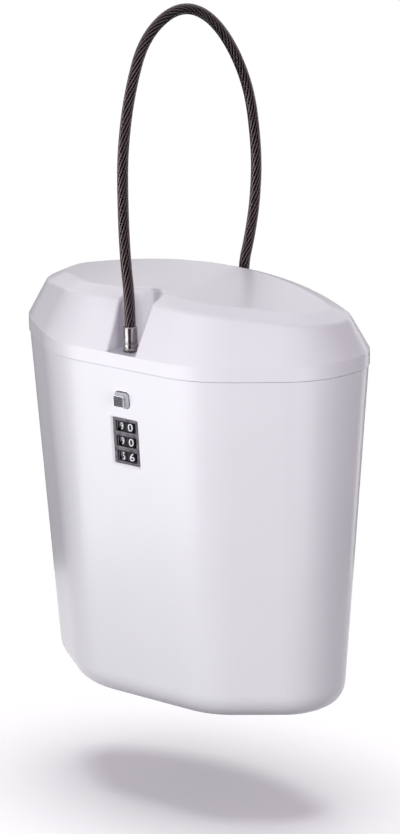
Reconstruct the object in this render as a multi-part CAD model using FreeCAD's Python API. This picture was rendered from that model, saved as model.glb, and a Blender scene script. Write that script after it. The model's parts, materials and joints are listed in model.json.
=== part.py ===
"""Portable safe with a drop-in cable loop and a three-wheel lock.

The body is a deep cup of a rounded, half-hexagon plan that narrows towards its base. A domed lid
closes it on a rear hinge, a looped security cable runs out of the lid, and its plug passes through
the lid's front notch into the lock behind the body's front wall.

Sizes are in millimetres. +Z is up, the front faces -Y, and the origin is the centre of the base.
"""
import math
import os
from dataclasses import dataclass, replace

import FreeCAD
import Part
from FreeCAD import Vector

# Body sizes
BODY_HEIGHT = 200.0
BODY_WALL = 3.5
BASE_THICKNESS = 4.5
BASE_EDGE_RADIUS = 16.5

# Plan of the body at the seam, from the middle of the front round to the middle of the rear
SEAM_FRONT_HALF_FLAT = 28.5
SEAM_FRONT_CORNER_RADIUS = 63.0
SEAM_FACET = 28.3
SEAM_SIDE_RADIUS = 50.5
SEAM_REAR_CORNER_RADIUS = 25.5
FRONT_CORNER_TURN = 36.0
SIDE_TURN = 59.0
REAR_CORNER_TURN = 55.0

# Plan of the body at the base, which turns by the same angles
BASE_FRONT_HALF_FLAT = 28.5
BASE_FRONT_CORNER_RADIUS = 48.0
BASE_FACET = 28.0
BASE_SIDE_RADIUS = 36.0
BASE_REAR_CORNER_RADIUS = 19.5
BASE_FRONT_SETBACK = 12.1

# Lid sizes
SEAM_GAP = 0.4
LID_OVERHANG = 0.6
LID_RIM_HEIGHT = 8.0
LID_WALL = 3.0
LID_CHAMFER_SLOPE = 0.55
LID_TOP_HEIGHT = 38.8
LID_DOME_RADIUS = 560.0
LID_BAND_DROP = 3.8
LID_BAND_WIDTH = 8.4
LID_INNER_BAND_DROP = 3.0
LID_INNER_BAND_WIDTH = 5.5
LID_EDGE_ROUNDING = 4.0
BAND_LINE_SLOPE = 0.35
LID_FLANGE_THICKNESS = 6.0
LIP_DEPTH = 5.0
LIP_THICKNESS = 2.0
LIP_CLEARANCE = 0.8
LIP_LOCK_GAP = 34.0

# Seal in the underside of the lid
SEAL_WIDTH = 1.7
SEAL_INSET = 0.95
SEAL_GROOVE_DEPTH = 1.6
SEAL_CLEARANCE = 0.3

# Front notch of the lid and the pocket where the cable leaves at the rear
NOTCH_HALF_WIDTH = 9.8
NOTCH_BACK_DEPTH = 20.0
NOTCH_DRAFT = 2.4
NOTCH_WALL = 2.4
NOTCH_EDGE_ROUNDING = 2.0
POCKET_RADIUS = 6.5
POCKET_FLOOR_RISE = 13.0
POCKET_WALL = 2.6

# Inner panel of the lid
PANEL_THICKNESS = 2.5
PANEL_RISE = 1.0
PANEL_CLEARANCE = 0.3
PANEL_BOSS_RADIUS = 4.0
PANEL_BOSS_X = 62.0
PANEL_BOSS_FRONT_Y = -8.0
PANEL_BOSS_REAR_Y = 26.0

# Hinge
HINGE_OFFSET = 4.7
HINGE_KNUCKLE_RADIUS = 3.6
HINGE_PIN_RADIUS = 1.5
HINGE_RUNNING_CLEARANCE = 0.05
HINGE_LENGTH = 56.0
HINGE_LID_KNUCKLE_LENGTH = 30.0
HINGE_END_GAP = 0.5
HINGE_WEB_DEPTH = 16.0
HINGE_LID_WEB_ROOT = 1.5
HINGE_LID_WEB_DROP = 1.0
HINGE_PIN_SETBACK = 0.5

# Cable and its fittings
CABLE_RADIUS = 3.0
PLUG_SETBACK = 9.3
PLUG_RADIUS = 2.8
PLUG_LENGTH = 20.0
PLUG_GROOVE_RADIUS = 1.9
PLUG_GROOVE_HEIGHT = 2.6
PLUG_GROOVE_RISE = 2.6
PLUG_TIP_CHAMFER = 1.0
FERRULE_RADIUS = 3.85
FERRULE_FLANGE_RADIUS = 4.25
FERRULE_COLLAR_HEIGHT = 4.3
FERRULE_HEIGHT = 13.7
FERRULE_SEAT_GAP = 0.1
FERRULE_EDGE = 0.4
FLANGE_RISE = 0.5
FLANGE_EDGE = 0.8
COLLAR_STEP = 0.15
COLLAR_EDGE = 0.3
NECK_DEPTH = 0.25
NECK_HEIGHT = 0.4
REAR_FERRULE_HEIGHT = 7.7
GUIDE_ROD_RADIUS = 2.4
STOP_COLLAR_RADIUS = 3.5
STOP_COLLAR_LENGTH = 8.0
STOP_COLLAR_EDGE = 0.5
CABLE_TRAVEL = 25.0
CABLE_STOP_GAP = 0.5
CABLE_EXIT_SETBACK = 9.8
FRONT_BUSH_RADIUS = 4.6
FRONT_BUSH_CLEARANCE = 0.35
REAR_BUSH_RADIUS = 4.6
REAR_BUSH_CLEARANCE = 0.35
REAR_BUSH_FLANGE_RADIUS = 5.5
REAR_BUSH_FLANGE_THICKNESS = 1.2
BUSH_EDGE = 0.4

# Lock face, in the wall's own frame: x to the right, y into the wall, z up the wall
LOCK_DROP = 42.5
PLATE_WIDTH = 17.5
PLATE_HEIGHT = 26.3
PLATE_THICKNESS = 1.4
PLATE_RECESS = 1.0
PLATE_BEVEL = 1.0
PLATE_CLEARANCE = 0.15
PLATE_LEDGE = 1.1
PLATE_CORNER = 0.4
SEAT_CORNER = 0.5
SEAT_BEVEL_CORNER = 2.2
WINDOW_WIDTH = 14.2
WINDOW_HEIGHT = 6.2
DIAL_COUNT = 3
DIAL_PITCH = 8.7
DIAL_RADIUS = 9.5
DIAL_HEIGHT = 5.8
DIAL_FACE_DEPTH = 1.1
DIAL_FLUTES = 10
DIAL_FLUTE_RADIUS = 0.9
DIAL_FLUTE_DEPTH = 0.45
DIAL_EDGE = 0.5
CAM_RADIUS = 6.5
CAM_THICKNESS = 1.2
CAM_GATE_WIDTH = 3.0
CAM_GATE_DEPTH = 2.0
SPINDLE_RADIUS = 2.0
DIAL_RUNNING_CLEARANCE = 0.05

# Lock housing behind the wall
HOUSING_WIDTH = 27.0
HOUSING_FLOOR = 2.7
HOUSING_WALL = 2.2
HOUSING_TOP_GAP = 4.0
SPINDLE_SEAT_DEPTH = 1.9
DIAL_BAY_CLEARANCE = 0.6
DIAL_BAY_END_GAP = 2.15
DETENT_THICKNESS = 0.4
DETENT_WIDTH = 6.0
DETENT_SLOT_X = 1.86
DETENT_SLOT_WIDTH = 0.5
DETENT_SLOT_MARGIN = 0.6
COVER_THICKNESS = 1.6
COVER_SCREW_MARGIN = 0.6
EAR_LENGTH = 7.0
EAR_THICKNESS = 3.0
EAR_HEIGHT = 9.0
EAR_BOSS_HEIGHT = 2.5
EAR_BOSS_ROOT = 1.75
EAR_LOWER_Z = -8.0
EAR_UPPER_Z = 27.0
SOCKET_FRONT_CLEARANCE = 1.2
SOCKET_REAR_CLEARANCE = 0.5
SOCKET_FLOOR_GAP = 1.0

# Release button and latch
BUTTON_RISE = 24.8
BUTTON_WIDTH = 9.5
BUTTON_HEIGHT = 9.1
BUTTON_FACE_WIDTH = 7.2
BUTTON_FACE_HEIGHT = 6.6
BUTTON_PROUD = 3.7
BUTTON_CORNER = 2.2
BUTTON_FACE_CORNER = 0.9
BUTTON_CLEARANCE = 0.35
BUTTON_TRAVEL = 2.8
BUTTON_STOP_GAP = 0.2
PAD_THICKNESS = 0.8
PAD_MARGIN = 0.35
PAD_RIBS = 5
PAD_RIB_DEPTH = 0.3
PAD_GROOVE_SHARE = 0.44
PAD_CORNER = 0.54
BUTTON_FLANGE_MARGIN = 0.8
BUTTON_FLANGE_THICKNESS = 1.2
LATCH_WIDTH = 5.0
LATCH_THICKNESS = 2.4
LATCH_NOSE_CLEARANCE = 0.4
LATCH_NOSE_THICKNESS = 1.6
LATCH_SLOT_CLEARANCE = 0.4
LATCH_TOP_MARGIN = 0.8
LATCH_STEM_DROP = 3.475
LATCH_NOSE_REACH = 3.2

# Screws
SCREW_RADIUS = 1.25
SCREW_HEAD_RADIUS = 2.4
SCREW_HEAD_HEIGHT = 1.6
SCREW_HEAD_SIDE = 0.8
SCREW_HEAD_TOP_RADIUS = 1.7
SCREW_SLOT_WIDTH = 0.6
SCREW_SLOT_DEPTH = 0.7
PANEL_SCREW_LENGTH = 9.0
EAR_SCREW_LENGTH = 7.0
COVER_SCREW_LENGTH = 6.0

# Values that follow from the sizes above
LID_BOTTOM = BODY_HEIGHT + SEAM_GAP
RIM_TOP = LID_BOTTOM + LID_RIM_HEIGHT
LID_TOP = BODY_HEIGHT + LID_TOP_HEIGHT
LOCK_CENTRE_Z = BODY_HEIGHT - LOCK_DROP
EPS = 0.01
FAR = 400.0
CUT = 1.0


@dataclass(frozen=True)
class Plan:
    """Outline of the body at one height: flat front, two facets, round sides and a gentle rear."""

    half_flat: float
    front_radius: float
    facet: float
    side_radius: float
    rear_radius: float
    front_y: float = 0.0

    def half(self, inset: float) -> list:
        """Returns the right half as (kind, start, middle, end) pieces, drawn in by inset."""
        x = 0.0
        y = self.front_y + inset
        heading = 0.0
        pieces = []

        def straight(length: float) -> None:
            nonlocal x, y
            start = (x, y)
            x += length * math.cos(heading)
            y += length * math.sin(heading)
            pieces.append(("line", start, None, (x, y)))

        def bend(radius: float, turn: float) -> None:
            nonlocal x, y, heading
            centre = (x - radius * math.sin(heading), y + radius * math.cos(heading))

            def at(angle: float) -> tuple:
                return centre[0] + radius * math.sin(angle), centre[1] - radius * math.cos(angle)

            start, middle = (x, y), at(heading + turn / 2)
            heading += turn
            x, y = at(heading)
            pieces.append(("arc", start, middle, (x, y)))

        straight(self.half_flat)
        bend(self.front_radius - inset, math.radians(FRONT_CORNER_TURN))
        straight(self.facet)
        bend(self.side_radius - inset, math.radians(SIDE_TURN))
        bend(self.rear_radius - inset, math.radians(REAR_CORNER_TURN))
        last_turn = math.pi - heading
        bend(x / math.sin(last_turn), last_turn)
        return pieces

    def rear_arc_radius(self) -> float:
        """Radius of the rear arc, whose centre lies on the middle plane."""
        corner_end = self.half(0.0)[-2][3]
        turns = FRONT_CORNER_TURN + SIDE_TURN + REAR_CORNER_TURN
        return corner_end[0] / math.sin(math.radians(180.0 - turns))

    def rear_y(self) -> float:
        """Y of the middle of the rear."""
        return self.half(0.0)[-1][3][1]

    def wire(self, z: float, inset: float = 0.0) -> Part.Wire:
        """Closed outline at height z, drawn in by inset."""
        half = self.half(inset)
        first, last = half[0], half[-1]

        def at(point: tuple, side: int = 1) -> Vector:
            return Vector(side * point[0], point[1], z)

        def edge(piece: tuple, side: int) -> Part.Edge:
            kind, start, middle, end = piece
            if kind == "line":
                return Part.makeLine(at(start, side), at(end, side))
            return Part.Arc(at(start, side), at(middle, side), at(end, side)).toShape()

        edges = [Part.makeLine(at(first[3], -1), at(first[3]))]
        edges += [edge(piece, 1) for piece in half[1:-1]]
        edges.append(Part.Arc(at(last[1]), at(last[3]), at(last[1], -1)).toShape())
        edges += [edge(piece, -1) for piece in reversed(half[1:-1])]
        return Part.Wire(Part.__sortEdges__(edges))


def centred(plan: Plan) -> Plan:
    """The plan moved so that its front and rear are equally far from the origin."""
    return replace(plan, front_y=-plan.rear_y() / 2)


SEAM_PLAN = centred(Plan(SEAM_FRONT_HALF_FLAT, SEAM_FRONT_CORNER_RADIUS, SEAM_FACET,
                         SEAM_SIDE_RADIUS, SEAM_REAR_CORNER_RADIUS))
BASE_PLAN = Plan(BASE_FRONT_HALF_FLAT, BASE_FRONT_CORNER_RADIUS, BASE_FACET, BASE_SIDE_RADIUS,
                 BASE_REAR_CORNER_RADIUS, SEAM_PLAN.front_y + BASE_FRONT_SETBACK)
FRONT_Y = SEAM_PLAN.front_y
REAR_Y = SEAM_PLAN.rear_y()
WALL_TILT = math.degrees(math.atan2(BASE_FRONT_SETBACK, BODY_HEIGHT))
PLUG_Y = FRONT_Y + PLUG_SETBACK
NOTCH_CENTRE_Y = FRONT_Y + NOTCH_BACK_DEPTH
HINGE_Y = REAR_Y + HINGE_OFFSET
POCKET_FLOOR = BODY_HEIGHT + POCKET_FLOOR_RISE
PANEL_BOTTOM = LID_BOTTOM + PANEL_RISE
PANEL_TOP = PANEL_BOTTOM + PANEL_THICKNESS
FLANGE_TOP = LID_BOTTOM + LID_FLANGE_THICKNESS
LIP_INSET = BODY_WALL + LIP_CLEARANCE
PLATE_BACK = PLATE_RECESS + PLATE_THICKNESS
DIAL_AXIS_Y = DIAL_FACE_DEPTH + DIAL_RADIUS
DIAL_BAY_HALF_HEIGHT = DIAL_PITCH + DIAL_HEIGHT / 2 + DIAL_BAY_END_GAP
DIAL_BAY_BACK = DIAL_AXIS_Y + DIAL_RADIUS + DIAL_BAY_CLEARANCE + DETENT_THICKNESS
HOUSING_BACK = DIAL_BAY_BACK + HOUSING_WALL
HOUSING_BOTTOM = -DIAL_BAY_HALF_HEIGHT - HOUSING_FLOOR
HOUSING_TOP = BODY_HEIGHT - HOUSING_TOP_GAP - LOCK_CENTRE_Z
COLLAR_BOTTOM = RIM_TOP + FERRULE_SEAT_GAP
FERRULE_TOP = COLLAR_BOTTOM + FERRULE_HEIGHT
PLUG_TIP_Z = COLLAR_BOTTOM - PLUG_LENGTH
CABLE_EXIT_Y = REAR_Y - CABLE_EXIT_SETBACK
REAR_FERRULE_FOOT = POCKET_FLOOR + REAR_BUSH_FLANGE_THICKNESS + FERRULE_SEAT_GAP
REAR_FERRULE_TOP = REAR_FERRULE_FOOT + REAR_FERRULE_HEIGHT
STOP_COLLAR_TOP = PANEL_BOTTOM - CABLE_TRAVEL - CABLE_STOP_GAP

# Corners of the cable's route in the middle plane, as (y, rise above the seam): up out of the
# front ferrule, over the top and down to the rear one
CABLE_LOOP = [
    (-53.5, 62.0), (-54.3, 92.0), (-53.5, 120.0), (-46.5, 151.0), (-32.5, 180.0), (-1.0, 192.5),
    (30.5, 178.5), (57.0, 141.0), (64.0, 100.0), (62.0, 72.0), (56.0, 50.0),
]
CABLE_LEAD = 16.0
CABLE_REAR_LEAD = 14.0
CABLE_BEND_SHARE = 0.45
CABLE_ROUTE = (
    [(PLUG_Y, FERRULE_TOP), (PLUG_Y, FERRULE_TOP + CABLE_LEAD)]
    + [(y, BODY_HEIGHT + rise) for y, rise in CABLE_LOOP]
    + [(CABLE_EXIT_Y, REAR_FERRULE_TOP + CABLE_REAR_LEAD), (CABLE_EXIT_Y, REAR_FERRULE_TOP)]
)


def box(x0: float, x1: float, y0: float, y1: float, z0: float, z1: float) -> Part.Shape:
    """Box between two corners."""
    return Part.makeBox(x1 - x0, y1 - y0, z1 - z0, Vector(x0, y0, z0))


def post(radius: float, x: float, y: float, z0: float, z1: float) -> Part.Shape:
    """Upright cylinder."""
    return Part.makeCylinder(radius, z1 - z0, Vector(x, y, z0))


def turned(profile: list, x: float, y: float) -> Part.Shape:
    """Solid of revolution about an upright axis, from (radius, z) points."""
    points = [Vector(x + r, y, z) for r, z in profile]
    face = Part.Face(Part.makePolygon(points + points[:1]))
    return face.revolve(Vector(x, y, 0), Vector(0, 0, 1), 360)


def extruded(points: list, x0: float, x1: float) -> Part.Shape:
    """Solid with a (y, z) section, running along X."""
    corners = [Vector(x0, y, z) for y, z in points]
    face = Part.Face(Part.makePolygon(corners + corners[:1]))
    return face.extrude(Vector(x1 - x0, 0, 0))


def wall_at(z: float) -> float:
    """Y of the front wall's outer face at height z."""
    return FRONT_Y + BASE_FRONT_SETBACK * (BODY_HEIGHT - z) / BODY_HEIGHT


def on_wall(shape: Part.Shape) -> Part.Shape:
    """Moves a shape from the front wall's own frame to the safe's frame."""
    placed = shape.copy()
    placed.rotate(Vector(0, 0, 0), Vector(1, 0, 0), WALL_TILT)
    placed.translate(Vector(0, wall_at(LOCK_CENTRE_Z), LOCK_CENTRE_Z))
    return placed


def ring(z0: float, z1: float, outer_inset: float, inner_inset: float) -> Part.Shape:
    """Upright band that follows the seam's plan between two insets."""
    outer = Part.Face(SEAM_PLAN.wire(z0, outer_inset)).extrude(Vector(0, 0, z1 - z0))
    inner = Part.Face(SEAM_PLAN.wire(z0 - CUT, inner_inset))
    inner = inner.extrude(Vector(0, 0, z1 - z0 + 2 * CUT))
    return outer.cut(inner)


def round_rect(width: float, height: float, corner: float, y: float) -> Part.Wire:
    """Rounded rectangle in the wall's frame, at depth y."""
    a, b, r = width / 2, height / 2, corner
    cut = r * (1 - math.sqrt(0.5))
    points = []
    for sx, sz in ((1, -1), (1, 1), (-1, 1), (-1, -1)):
        ends = [Vector(sx * (a - r), y, sz * b), Vector(sx * a, y, sz * (b - r))]
        middle = Vector(sx * (a - cut), y, sz * (b - cut))
        if sx * sz > 0:
            ends.reverse()
        points.append((ends[0], middle, ends[1]))
    edges = []
    for index, (start, middle, end) in enumerate(points):
        edges.append(Part.Arc(start, middle, end).toShape())
        edges.append(Part.makeLine(end, points[(index + 1) % len(points)][0]))
    return Part.Wire(edges)


def screw(length: float) -> Part.Shape:
    """Pan-head screw: the head stands on z = 0 and the shank runs down from it."""
    head = turned([(0, 0), (SCREW_HEAD_RADIUS, 0), (SCREW_HEAD_RADIUS, SCREW_HEAD_SIDE),
                   (SCREW_HEAD_TOP_RADIUS, SCREW_HEAD_HEIGHT), (0, SCREW_HEAD_HEIGHT)], 0, 0)
    shank = post(SCREW_RADIUS, 0, 0, -length, 0)
    half, top = SCREW_SLOT_WIDTH / 2, SCREW_HEAD_HEIGHT
    slots = [box(-FAR, FAR, -half, half, top - SCREW_SLOT_DEPTH, FAR)]
    slots.append(box(-half, half, -FAR, FAR, top - SCREW_SLOT_DEPTH, FAR))
    solid = head.fuse(shank)
    for slot in slots:
        solid = solid.cut(slot)
    return solid.removeSplitter()


def body_block(inset: float) -> Part.Shape:
    """Tapered body between the base and the seam, drawn in by inset."""
    wires = [BASE_PLAN.wire(0.0, inset), SEAM_PLAN.wire(BODY_HEIGHT, inset)]
    return Part.makeLoft(wires, True, True)


def edges_at(shape: Part.Shape, z: float) -> list:
    """Edges that lie wholly at height z."""
    return [e for e in shape.Edges
            if abs(e.BoundBox.ZMin - z) < EPS and abs(e.BoundBox.ZMax - z) < EPS]


def hinge_web(x0: float, x1: float, points: list) -> Part.Shape:
    """Hinge knuckle with the web that joins it to its shell."""
    start = Vector(x0, HINGE_Y, BODY_HEIGHT)
    barrel = Part.makeCylinder(HINGE_KNUCKLE_RADIUS, x1 - x0, start, Vector(1, 0, 0))
    return barrel.fuse(extruded(points, x0, x1))


def hinge_bore(radius: float) -> Part.Shape:
    """Rod along the hinge axis."""
    start = Vector(-HINGE_LENGTH, HINGE_Y, BODY_HEIGHT)
    return Part.makeCylinder(radius, 2 * HINGE_LENGTH, start, Vector(1, 0, 0))


def hinge_sagitta() -> float:
    """How far the round rear falls away at the ends of the hinge."""
    radius = SEAM_PLAN.rear_arc_radius()
    return radius - math.sqrt(radius ** 2 - (HINGE_LENGTH / 2) ** 2)


def make_hinge_lugs() -> Part.Shape:
    """The two outer knuckles, whose webs stand on the rear wall."""
    root = REAR_Y - hinge_sagitta() - BODY_WALL
    low = BODY_HEIGHT - HINGE_WEB_DEPTH
    top = BODY_HEIGHT - SEAM_GAP
    web = [(HINGE_Y, BODY_HEIGHT - HINGE_KNUCKLE_RADIUS), (HINGE_Y, top), (root, top), (root, low)]
    inner = HINGE_LID_KNUCKLE_LENGTH / 2 + HINGE_END_GAP
    outer = HINGE_LENGTH / 2
    lugs = [hinge_web(inner, outer, web), hinge_web(-outer, -inner, web)]
    trimmed = [lug.cut(body_block(0.0)).cut(hinge_bore(HINGE_PIN_RADIUS)) for lug in lugs]
    return Part.makeCompound([solid for shape in trimmed for solid in shape.Solids])


def lid_knuckle() -> Part.Shape:
    """The middle knuckle, which belongs to the lid."""
    root = REAR_Y - HINGE_LID_WEB_ROOT
    low = LID_BOTTOM
    web = [(root, low), (HINGE_Y, low), (HINGE_Y, BODY_HEIGHT + HINGE_KNUCKLE_RADIUS),
           (root, RIM_TOP - HINGE_LID_WEB_DROP)]
    half = HINGE_LID_KNUCKLE_LENGTH / 2
    return hinge_web(-half, half, web)


def screw_places_on_ears() -> list:
    """Places of the housing's fixing screws in the wall's frame, as (x, z)."""
    x = HOUSING_WIDTH / 2 + EAR_LENGTH / 2
    return [(side * x, z) for side in (-1, 1) for z in (EAR_LOWER_Z, EAR_UPPER_Z)]


def lengthwise(radius: float, x: float, z: float, y0: float, y1: float) -> Part.Shape:
    """Cylinder that runs into the wall, in the wall's frame."""
    return Part.makeCylinder(radius, y1 - y0, Vector(x, y0, z), Vector(0, 1, 0))


def make_body_shell() -> Part.Shape:
    """Cup-shaped body with the lock's openings."""
    outer = body_block(0.0)
    outer = outer.makeFillet(BASE_EDGE_RADIUS, edges_at(outer, 0.0))
    above_base = box(-FAR, FAR, -FAR, FAR, BASE_THICKNESS, BODY_HEIGHT + CUT)
    inner = body_block(BODY_WALL).common(above_base)
    inner_radius = BASE_EDGE_RADIUS - BODY_WALL
    inner = inner.makeFillet(inner_radius, edges_at(inner, BASE_THICKNESS))
    shell = outer.cut(inner)
    for x, z in screw_places_on_ears():
        seat = BODY_WALL + EAR_BOSS_HEIGHT
        boss = lengthwise(EAR_LENGTH / 2, x, z, EAR_BOSS_ROOT, seat)
        shell = shell.fuse(on_wall(boss))
        depth = EAR_SCREW_LENGTH - EAR_THICKNESS
        shell = shell.cut(on_wall(lengthwise(SCREW_RADIUS, x, z, seat - depth, seat + CUT)))

    wide, tall = PLATE_WIDTH + 2 * PLATE_CLEARANCE, PLATE_HEIGHT + 2 * PLATE_CLEARANCE
    bevel = Part.makeLoft([
        round_rect(wide + 4 * PLATE_BEVEL, tall + 4 * PLATE_BEVEL, SEAT_BEVEL_CORNER, -PLATE_RECESS),
        round_rect(wide, tall, SEAT_CORNER, PLATE_RECESS),
    ], True, True)
    seat = Part.Face(round_rect(wide, tall, SEAT_CORNER, 0)).extrude(Vector(0, PLATE_BACK, 0))
    hole_wide, hole_tall = PLATE_WIDTH - 2 * PLATE_LEDGE, PLATE_HEIGHT - 2 * PLATE_LEDGE
    hole = box(-hole_wide / 2, hole_wide / 2, 0, 2 * BODY_WALL, -hole_tall / 2, hole_tall / 2)
    for tool in (bevel, seat, hole):
        shell = shell.cut(on_wall(tool))
    hole = Part.Face(round_rect(BUTTON_WIDTH + 2 * BUTTON_CLEARANCE,
                                BUTTON_HEIGHT + 2 * BUTTON_CLEARANCE,
                                BUTTON_CORNER + BUTTON_CLEARANCE, -CUT))
    hole = hole.extrude(Vector(0, 2 * BODY_WALL, 0))
    hole.translate(Vector(0, 0, BUTTON_RISE))
    return shell.cut(on_wall(hole))


def make_lock_plate() -> Part.Shape:
    """Face plate with one window for each dial."""
    plate = Part.Face(round_rect(PLATE_WIDTH, PLATE_HEIGHT, PLATE_CORNER, PLATE_RECESS))
    plate = plate.extrude(Vector(0, PLATE_THICKNESS, 0))
    for z in dial_heights():
        a, b = WINDOW_WIDTH / 2, WINDOW_HEIGHT / 2
        plate = plate.cut(box(-a, a, -CUT, PLATE_BACK + CUT, z - b, z + b))
    return on_wall(plate)


def dial_heights() -> list:
    """Heights of the dials' middles in the wall's frame, from the top down."""
    middle = (DIAL_COUNT - 1) / 2
    return [(middle - index) * DIAL_PITCH for index in range(DIAL_COUNT)]


def make_dial(z: float) -> Part.Shape:
    """Number wheel with a finger flute between each pair of numbers and one facing the front."""
    half, edge = DIAL_HEIGHT / 2, DIAL_EDGE
    bore = SPINDLE_RADIUS + DIAL_RUNNING_CLEARANCE
    profile = [(bore, z - half), (DIAL_RADIUS - edge, z - half), (DIAL_RADIUS, z - half + edge),
               (DIAL_RADIUS, z + half - edge), (DIAL_RADIUS - edge, z + half), (bore, z + half)]
    dial = turned(profile, 0, DIAL_AXIS_Y)
    reach = DIAL_RADIUS + DIAL_FLUTE_RADIUS - DIAL_FLUTE_DEPTH
    for index in range(DIAL_FLUTES):
        angle = 2 * math.pi * index / DIAL_FLUTES
        x, y = reach * math.sin(angle), DIAL_AXIS_Y - reach * math.cos(angle)
        dial = dial.cut(post(DIAL_FLUTE_RADIUS, x, y, z - half - CUT, z + half + CUT))
    return on_wall(dial)


def make_code_cam(z: float) -> Part.Shape:
    """Code cam under a dial: a disc with one gate in its rear edge."""
    top = z - DIAL_HEIGHT / 2
    cam = post(CAM_RADIUS, 0, DIAL_AXIS_Y, top - CAM_THICKNESS, top)
    bore = SPINDLE_RADIUS + DIAL_RUNNING_CLEARANCE
    cam = cam.cut(post(bore, 0, DIAL_AXIS_Y, top - CAM_THICKNESS - CUT, top + CUT))
    a = CAM_GATE_WIDTH / 2
    gate_floor = DIAL_AXIS_Y + CAM_RADIUS - CAM_GATE_DEPTH
    gate = box(-a, a, gate_floor, gate_floor + CAM_RADIUS, top - CAM_THICKNESS - CUT, top + CUT)
    return on_wall(cam.cut(gate))


def make_spindle() -> Part.Shape:
    """Spindle that the dials turn on, held in the housing's floor and ceiling."""
    reach = DIAL_BAY_HALF_HEIGHT + SPINDLE_SEAT_DEPTH
    return on_wall(post(SPINDLE_RADIUS, 0, DIAL_AXIS_Y, -reach, reach))


def socket_bore(z0: float, z1: float) -> Part.Shape:
    """Upright well that the plug drops into, with room in front for the lid's swing."""
    front = PLUG_Y - PLUG_RADIUS - SOCKET_FRONT_CLEARANCE
    rear = PLUG_Y + PLUG_RADIUS + SOCKET_REAR_CLEARANCE
    return post((rear - front) / 2, 0, (front + rear) / 2, z0, z1)


def latch_wall_y() -> float:
    """Depth of the latch riser's front face in the wall's frame, behind the plug."""
    drop = PLUG_Y + PLUG_RADIUS - wall_at(LOCK_CENTRE_Z)
    rise = PLUG_TIP_Z - LOCK_CENTRE_Z
    tilt = math.radians(WALL_TILT)
    return drop * math.cos(tilt) + rise * math.sin(tilt) + LATCH_NOSE_THICKNESS


def latch_bay() -> tuple:
    """Limits of the latch bay in the wall's frame, as (half width, floor z, ceiling z)."""
    half = LATCH_WIDTH / 2 + LATCH_SLOT_CLEARANCE
    floor = BUTTON_RISE - BUTTON_HEIGHT / 2 - BUTTON_FLANGE_MARGIN - LATCH_SLOT_CLEARANCE
    return half, floor, latch_top() + LATCH_SLOT_CLEARANCE


def latch_top() -> float:
    """Top of the latch riser in the wall's frame."""
    return PLUG_TIP_Z + PLUG_GROOVE_RISE + PLUG_GROOVE_HEIGHT + LATCH_TOP_MARGIN - LOCK_CENTRE_Z


def make_lock_housing() -> Part.Shape:
    """Moulded case behind the front wall: dial bay below, latch bay and plug well above."""
    a = HOUSING_WIDTH / 2
    front = BODY_WALL
    case = box(-a, a, front, HOUSING_BACK, HOUSING_BOTTOM, HOUSING_TOP)
    bay_half = a - HOUSING_WALL
    h = DIAL_BAY_HALF_HEIGHT
    case = case.cut(box(-bay_half, bay_half, front - CUT, DIAL_BAY_BACK, -h, h))
    reach = h + SPINDLE_SEAT_DEPTH
    case = case.cut(post(SPINDLE_RADIUS, 0, DIAL_AXIS_Y, -reach, reach))

    half, floor, ceiling = latch_bay()
    flange = BUTTON_WIDTH / 2 + BUTTON_FLANGE_MARGIN + LATCH_SLOT_CLEARANCE
    flange_top = BUTTON_RISE + BUTTON_HEIGHT / 2 + BUTTON_FLANGE_MARGIN + LATCH_SLOT_CLEARANCE
    flange_room = BUTTON_STOP_GAP + BUTTON_FLANGE_THICKNESS + BUTTON_TRAVEL + LATCH_SLOT_CLEARANCE
    case = case.cut(box(-flange, flange, front - CUT, front + flange_room, floor, flange_top))
    case = case.cut(box(-half, half, front - CUT, HOUSING_BACK + CUT, floor, ceiling))
    for x, z in screw_places_on_ears():
        seat = BODY_WALL + EAR_BOSS_HEIGHT
        reach = EAR_LENGTH / 2 + HOUSING_WALL / 2
        middle = math.copysign(a + EAR_LENGTH / 2 - HOUSING_WALL / 2, x)
        ear = box(middle - reach, middle + reach, seat, seat + EAR_THICKNESS,
                  z - EAR_HEIGHT / 2, z + EAR_HEIGHT / 2)
        case = case.fuse(ear)
        case = case.cut(lengthwise(SCREW_RADIUS, x, z, seat - CUT, seat + EAR_THICKNESS + CUT))
    for x, z in cover_screw_places():
        depth = COVER_SCREW_LENGTH - COVER_THICKNESS
        case = case.cut(lengthwise(SCREW_RADIUS, x, z, HOUSING_BACK - depth, HOUSING_BACK + CUT))
    case = on_wall(case)
    return case.cut(socket_bore(PLUG_TIP_Z - SOCKET_FLOOR_GAP, BODY_HEIGHT))


def cover_screw_places() -> list:
    """Places of the cover's screws in the wall's frame, as (x, z)."""
    inset = SCREW_HEAD_RADIUS + COVER_SCREW_MARGIN
    x = HOUSING_WIDTH / 2 - inset
    return [(side * x, z) for side in (-1, 1) for z in (HOUSING_BOTTOM + inset, HOUSING_TOP - inset)]


def make_lock_cover() -> Part.Shape:
    """Plate that closes the rear of the housing."""
    a = HOUSING_WIDTH / 2
    cover = box(-a, a, HOUSING_BACK, HOUSING_BACK + COVER_THICKNESS, HOUSING_BOTTOM, HOUSING_TOP)
    for x, z in cover_screw_places():
        cover = cover.cut(lengthwise(SCREW_RADIUS, x, z, HOUSING_BACK - 1, HOUSING_BACK + FAR))
    return on_wall(cover)


def make_detent_spring() -> Part.Shape:
    """Leaf behind the dials, with one finger for each of them."""
    back = DIAL_BAY_BACK
    front = back - DETENT_THICKNESS
    a = DETENT_WIDTH / 2
    h = DIAL_BAY_HALF_HEIGHT
    leaf = box(-a, a, front, back, -h, h)
    for z in dial_heights():
        reach = DIAL_HEIGHT / 2 - DETENT_SLOT_MARGIN
        for x in (-DETENT_SLOT_X, DETENT_SLOT_X):
            low, high = x - DETENT_SLOT_WIDTH / 2, x + DETENT_SLOT_WIDTH / 2
            leaf = leaf.cut(box(low, high, front - CUT, back + CUT, z - reach, z + reach))
    return on_wall(leaf)


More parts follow.
